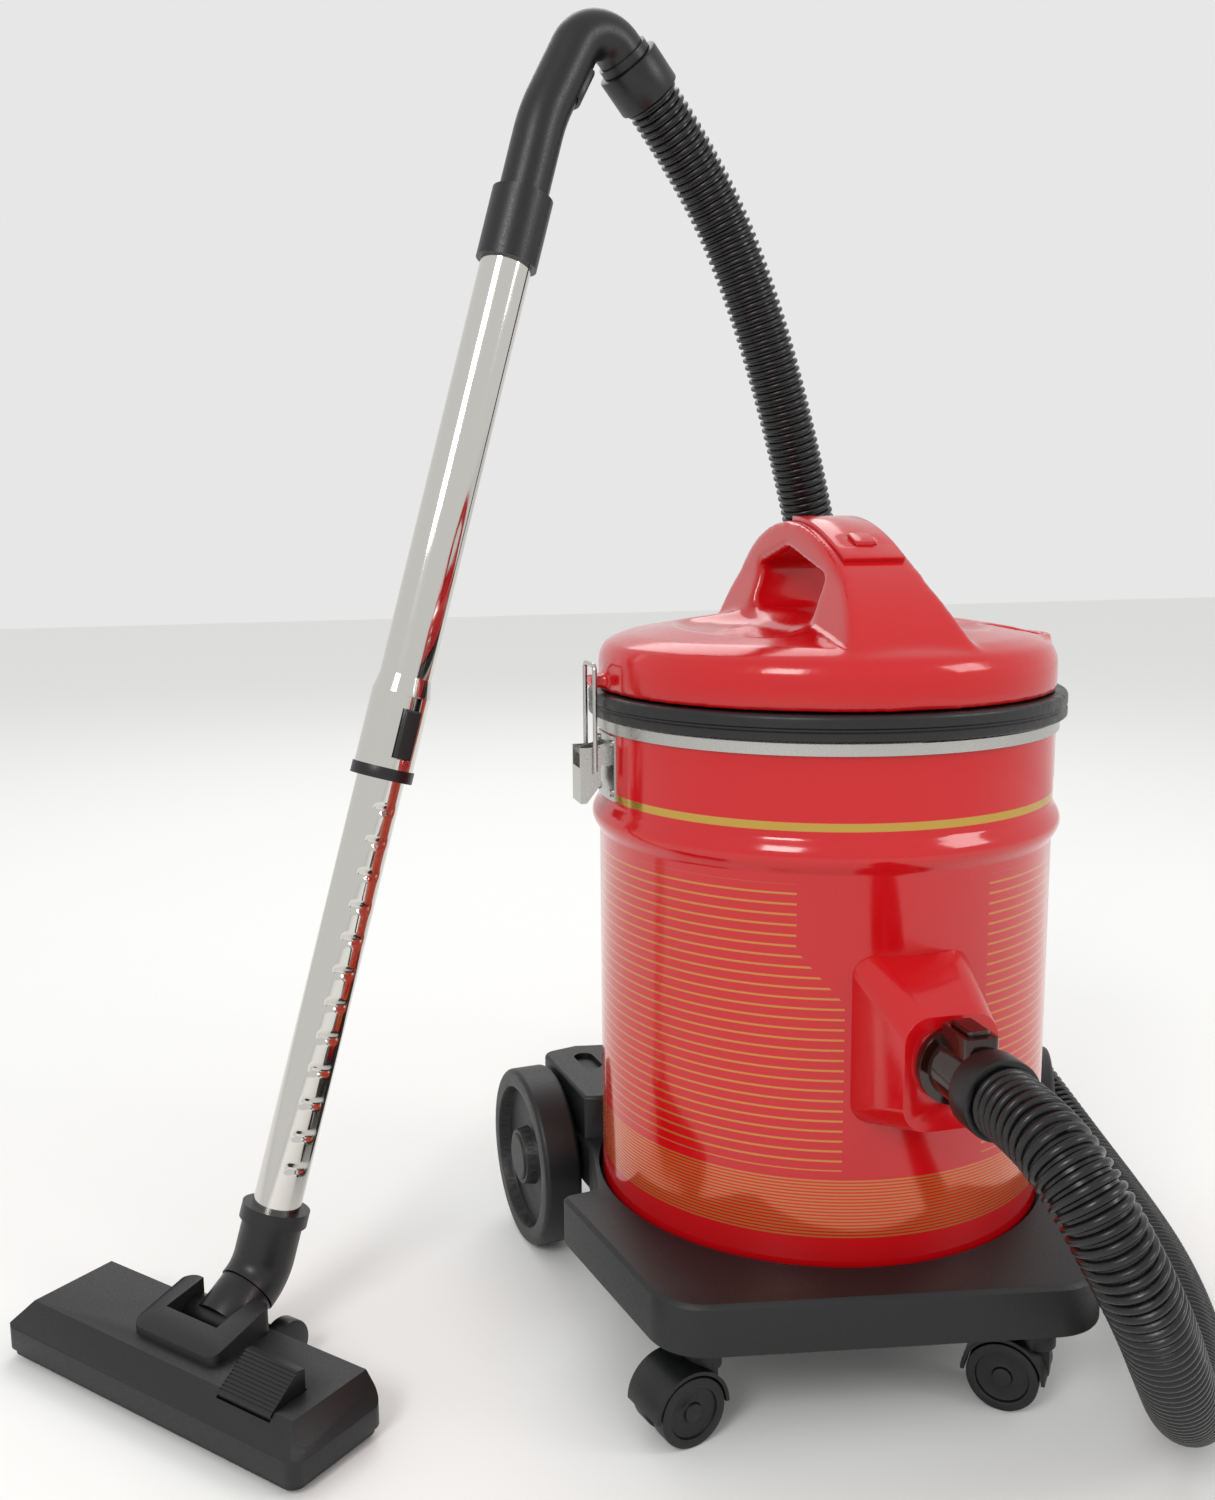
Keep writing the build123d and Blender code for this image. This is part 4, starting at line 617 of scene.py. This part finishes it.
class DRUMVAC_OT_pedal(bpy.types.Operator):
    """Make the floor head's ribbed pedal"""

    bl_idname = "drumvac.pedal"
    bl_label = "Pedal"

    PITCH = 2.4 * MM
    HALF_GROOVE = 0.4 * MM
    GROOVE_DEEP = 0.6 * MM
    FLANK = 0.05 * MM
    EACH_SIDE = 6

    def execute(self, context):
        pedal = copy_node("nozzle_pedal", "ribbed_pedal")
        tidy_mesh(pedal, flatten=1.0)
        # The tread is the large face that slopes up; it is cut into ribs.
        tread = max(pedal.data.polygons, key=lambda face: face.area * max(face.normal.z, 0)
                    * (1 if face.normal.z < 0.995 else 0.1))
        normal, centre = tread.normal.copy(), tread.center.copy()
        level = Vector((normal.y, -normal.x, 0)).normalized()
        slope = normal.cross(level).normalized()
        only(pedal)
        bpy.ops.object.mode_set(mode="EDIT")
        for step in range(-self.EACH_SIDE, self.EACH_SIDE + 1):
            for flank in (-self.HALF_GROOVE, self.HALF_GROOVE):
                bpy.ops.mesh.select_all(action="SELECT")
                bpy.ops.mesh.bisect(plane_co=centre + slope * (step * self.PITCH + flank), plane_no=slope)
        bpy.ops.mesh.select_all(action="DESELECT")
        bpy.ops.mesh.select_mode(type="FACE")
        bpy.ops.object.mode_set(mode="OBJECT")
        for face in pedal.data.polygons:
            along = (face.center - centre).dot(slope) / self.PITCH
            groove = abs(along - round(along)) < 0.15 and abs(round(along)) <= self.EACH_SIDE
            face.select = groove and face.normal.dot(normal) > 0.99
        bpy.ops.object.mode_set(mode="EDIT")
        bpy.ops.mesh.inset(thickness=self.FLANK, depth=-self.GROOVE_DEEP)
        bpy.ops.mesh.select_mode(type="VERT")
        bpy.ops.object.mode_set(mode="OBJECT")
        tidy_mesh(pedal)
        smooth(pedal, 25)
        dress(pedal, "nozzle_pedal", satin_abs())
        return {"FINISHED"}


class DRUMVAC_OT_pressed_tube(bpy.types.Operator):
    """Make the lower tube with its pressed detents"""

    bl_idname = "drumvac.pressed_tube"
    bl_label = "Pressed Tube"

    FIRST = 56 * MM
    PITCH = 22 * MM
    COUNT = 12
    HALF_LONG = 4.2 * MM
    HALF_WIDE = 9.0 * MM
    FLANK = 3.0 * MM
    DEPTH = 1.4 * MM

    def pressed(self, along, arc):
        """How deep the tube is pressed in at a place on its wall."""
        nearest = min(max(round((along - self.FIRST) / self.PITCH), 0), self.COUNT - 1)
        off = abs(along - self.FIRST - nearest * self.PITCH) / self.HALF_LONG
        if off >= 1 or abs(arc) >= self.HALF_WIDE:
            return 0
        across = min((self.HALF_WIDE - abs(arc)) / self.FLANK, 1)
        return self.DEPTH * (1 + math.cos(math.pi * off)) / 2 * (1 - math.cos(math.pi * across)) / 2

    def execute(self, context):
        joints = frame["record"]["behaviour"]["joints"]
        up = Vector(next(joint["axis"] for joint in joints if joint["name"] == "telescope")).normalized()
        if up.z < 0:
            up.negate()
        points = [vertex.co for vertex in frame["nodes"]["lower_tube"].data.vertices]
        first = up.orthogonal().normalized()
        other = up.cross(first)

        def reach(way):
            spread = [point.dot(way) for point in points]
            return min(spread), max(spread)

        low, high = reach(up)
        centre = first * (sum(reach(first)) / 2) + other * (sum(reach(other)) / 2)
        radius = (reach(first)[1] - reach(first)[0]) / 2
        tab_low, tab_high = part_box("lock_tab")
        facing = (tab_low + tab_high) / 2 - centre
        facing = (facing - up * facing.dot(up)).normalized()
        beside = up.cross(facing)

        bpy.ops.object.select_all(action="DESELECT")
        bpy.ops.mesh.primitive_grid_add(x_subdivisions=96, y_subdivisions=320, size=2)
        tube = context.object
        tube.name = "pressed_tube"
        for vertex in tube.data.vertices:
            turn = vertex.co.x * math.pi
            along = (vertex.co.y + 1) / 2 * (high - low)
            out = radius - self.pressed(along, turn * radius)
            vertex.co = centre + up * (low + along) + (facing * math.cos(turn) + beside * math.sin(turn)) * out
        tidy_mesh(tube)
        apply_modifier(tube, "SOLIDIFY", thickness=1.0 * MM, offset=-1.0)
        smooth(tube, 40)
        dress(tube, "lower_tube", chromed_steel())
        return {"FINISHED"}


class DRUMVAC_OT_finishes(bpy.types.Operator):
    """Give the design's own parts their materials"""

    bl_idname = "drumvac.finishes"
    bl_label = "Finishes"

    def execute(self, context):
        red = tuple(context.scene.drum_vacuum.red)
        finish = {
            "red_lid": moulded_abs(red),
            "bright_steel": bright_steel(),
            "chrome_tube": chromed_steel(),
            "black_band": moulded_elastomer(),
            "black_deck": textured_polypropylene(),
            "black_fitting": satin_abs(),
            "brown_fitting": smoky_polycarbonate(),
            "motor_casing": satin_abs(),
            "motor_metal": pressed_aluminium(),
            "filter_cloth": needled_felt(),
            "bristle": nylon_bristle(),
        }
        for node, part in frame["nodes"].items():
            if SLOT_OF[node] in finish:
                for holder in part.material_slots:
                    holder.material = finish[SLOT_OF[node]]
        return {"FINISHED"}


class DRUMVAC_PT_panel(bpy.types.Panel):
    """Lists the steps that build the vacuum cleaner"""

    bl_label = "Drum Vacuum"
    bl_idname = "DRUMVAC_PT_panel"
    bl_space_type = "VIEW_3D"
    bl_region_type = "UI"
    bl_category = "Drum Vacuum"

    def draw(self, context):
        settings = context.scene.drum_vacuum
        for name in ("red", "gold", "rib_pitch", "corner", "voxel"):
            self.layout.prop(settings, name)
        for operator in OPERATORS:
            self.layout.operator(operator.bl_idname)


OPERATORS = (
    DRUMVAC_OT_stage,
    DRUMVAC_OT_hose,
    DRUMVAC_OT_lid,
    DRUMVAC_OT_drum,
    DRUMVAC_OT_mouldings,
    DRUMVAC_OT_pedal,
    DRUMVAC_OT_pressed_tube,
    DRUMVAC_OT_finishes,
)
CLASSES = (DrumVacuumSettings, *OPERATORS, DRUMVAC_PT_panel)


def register():
    for item in CLASSES:
        bpy.utils.register_class(item)
    bpy.types.Scene.drum_vacuum = bpy.props.PointerProperty(type=DrumVacuumSettings)


def unregister():
    del bpy.types.Scene.drum_vacuum
    for item in reversed(CLASSES):
        bpy.utils.unregister_class(item)


def main():
    """Build everything in order."""
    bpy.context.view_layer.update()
    register()
    bpy.ops.drumvac.stage()
    bpy.ops.drumvac.hose()
    bpy.ops.drumvac.lid()
    bpy.ops.drumvac.drum()
    bpy.ops.drumvac.mouldings()
    bpy.ops.drumvac.pedal()
    bpy.ops.drumvac.pressed_tube()
    bpy.ops.drumvac.finishes()


if __name__ == "__main__":
    main()
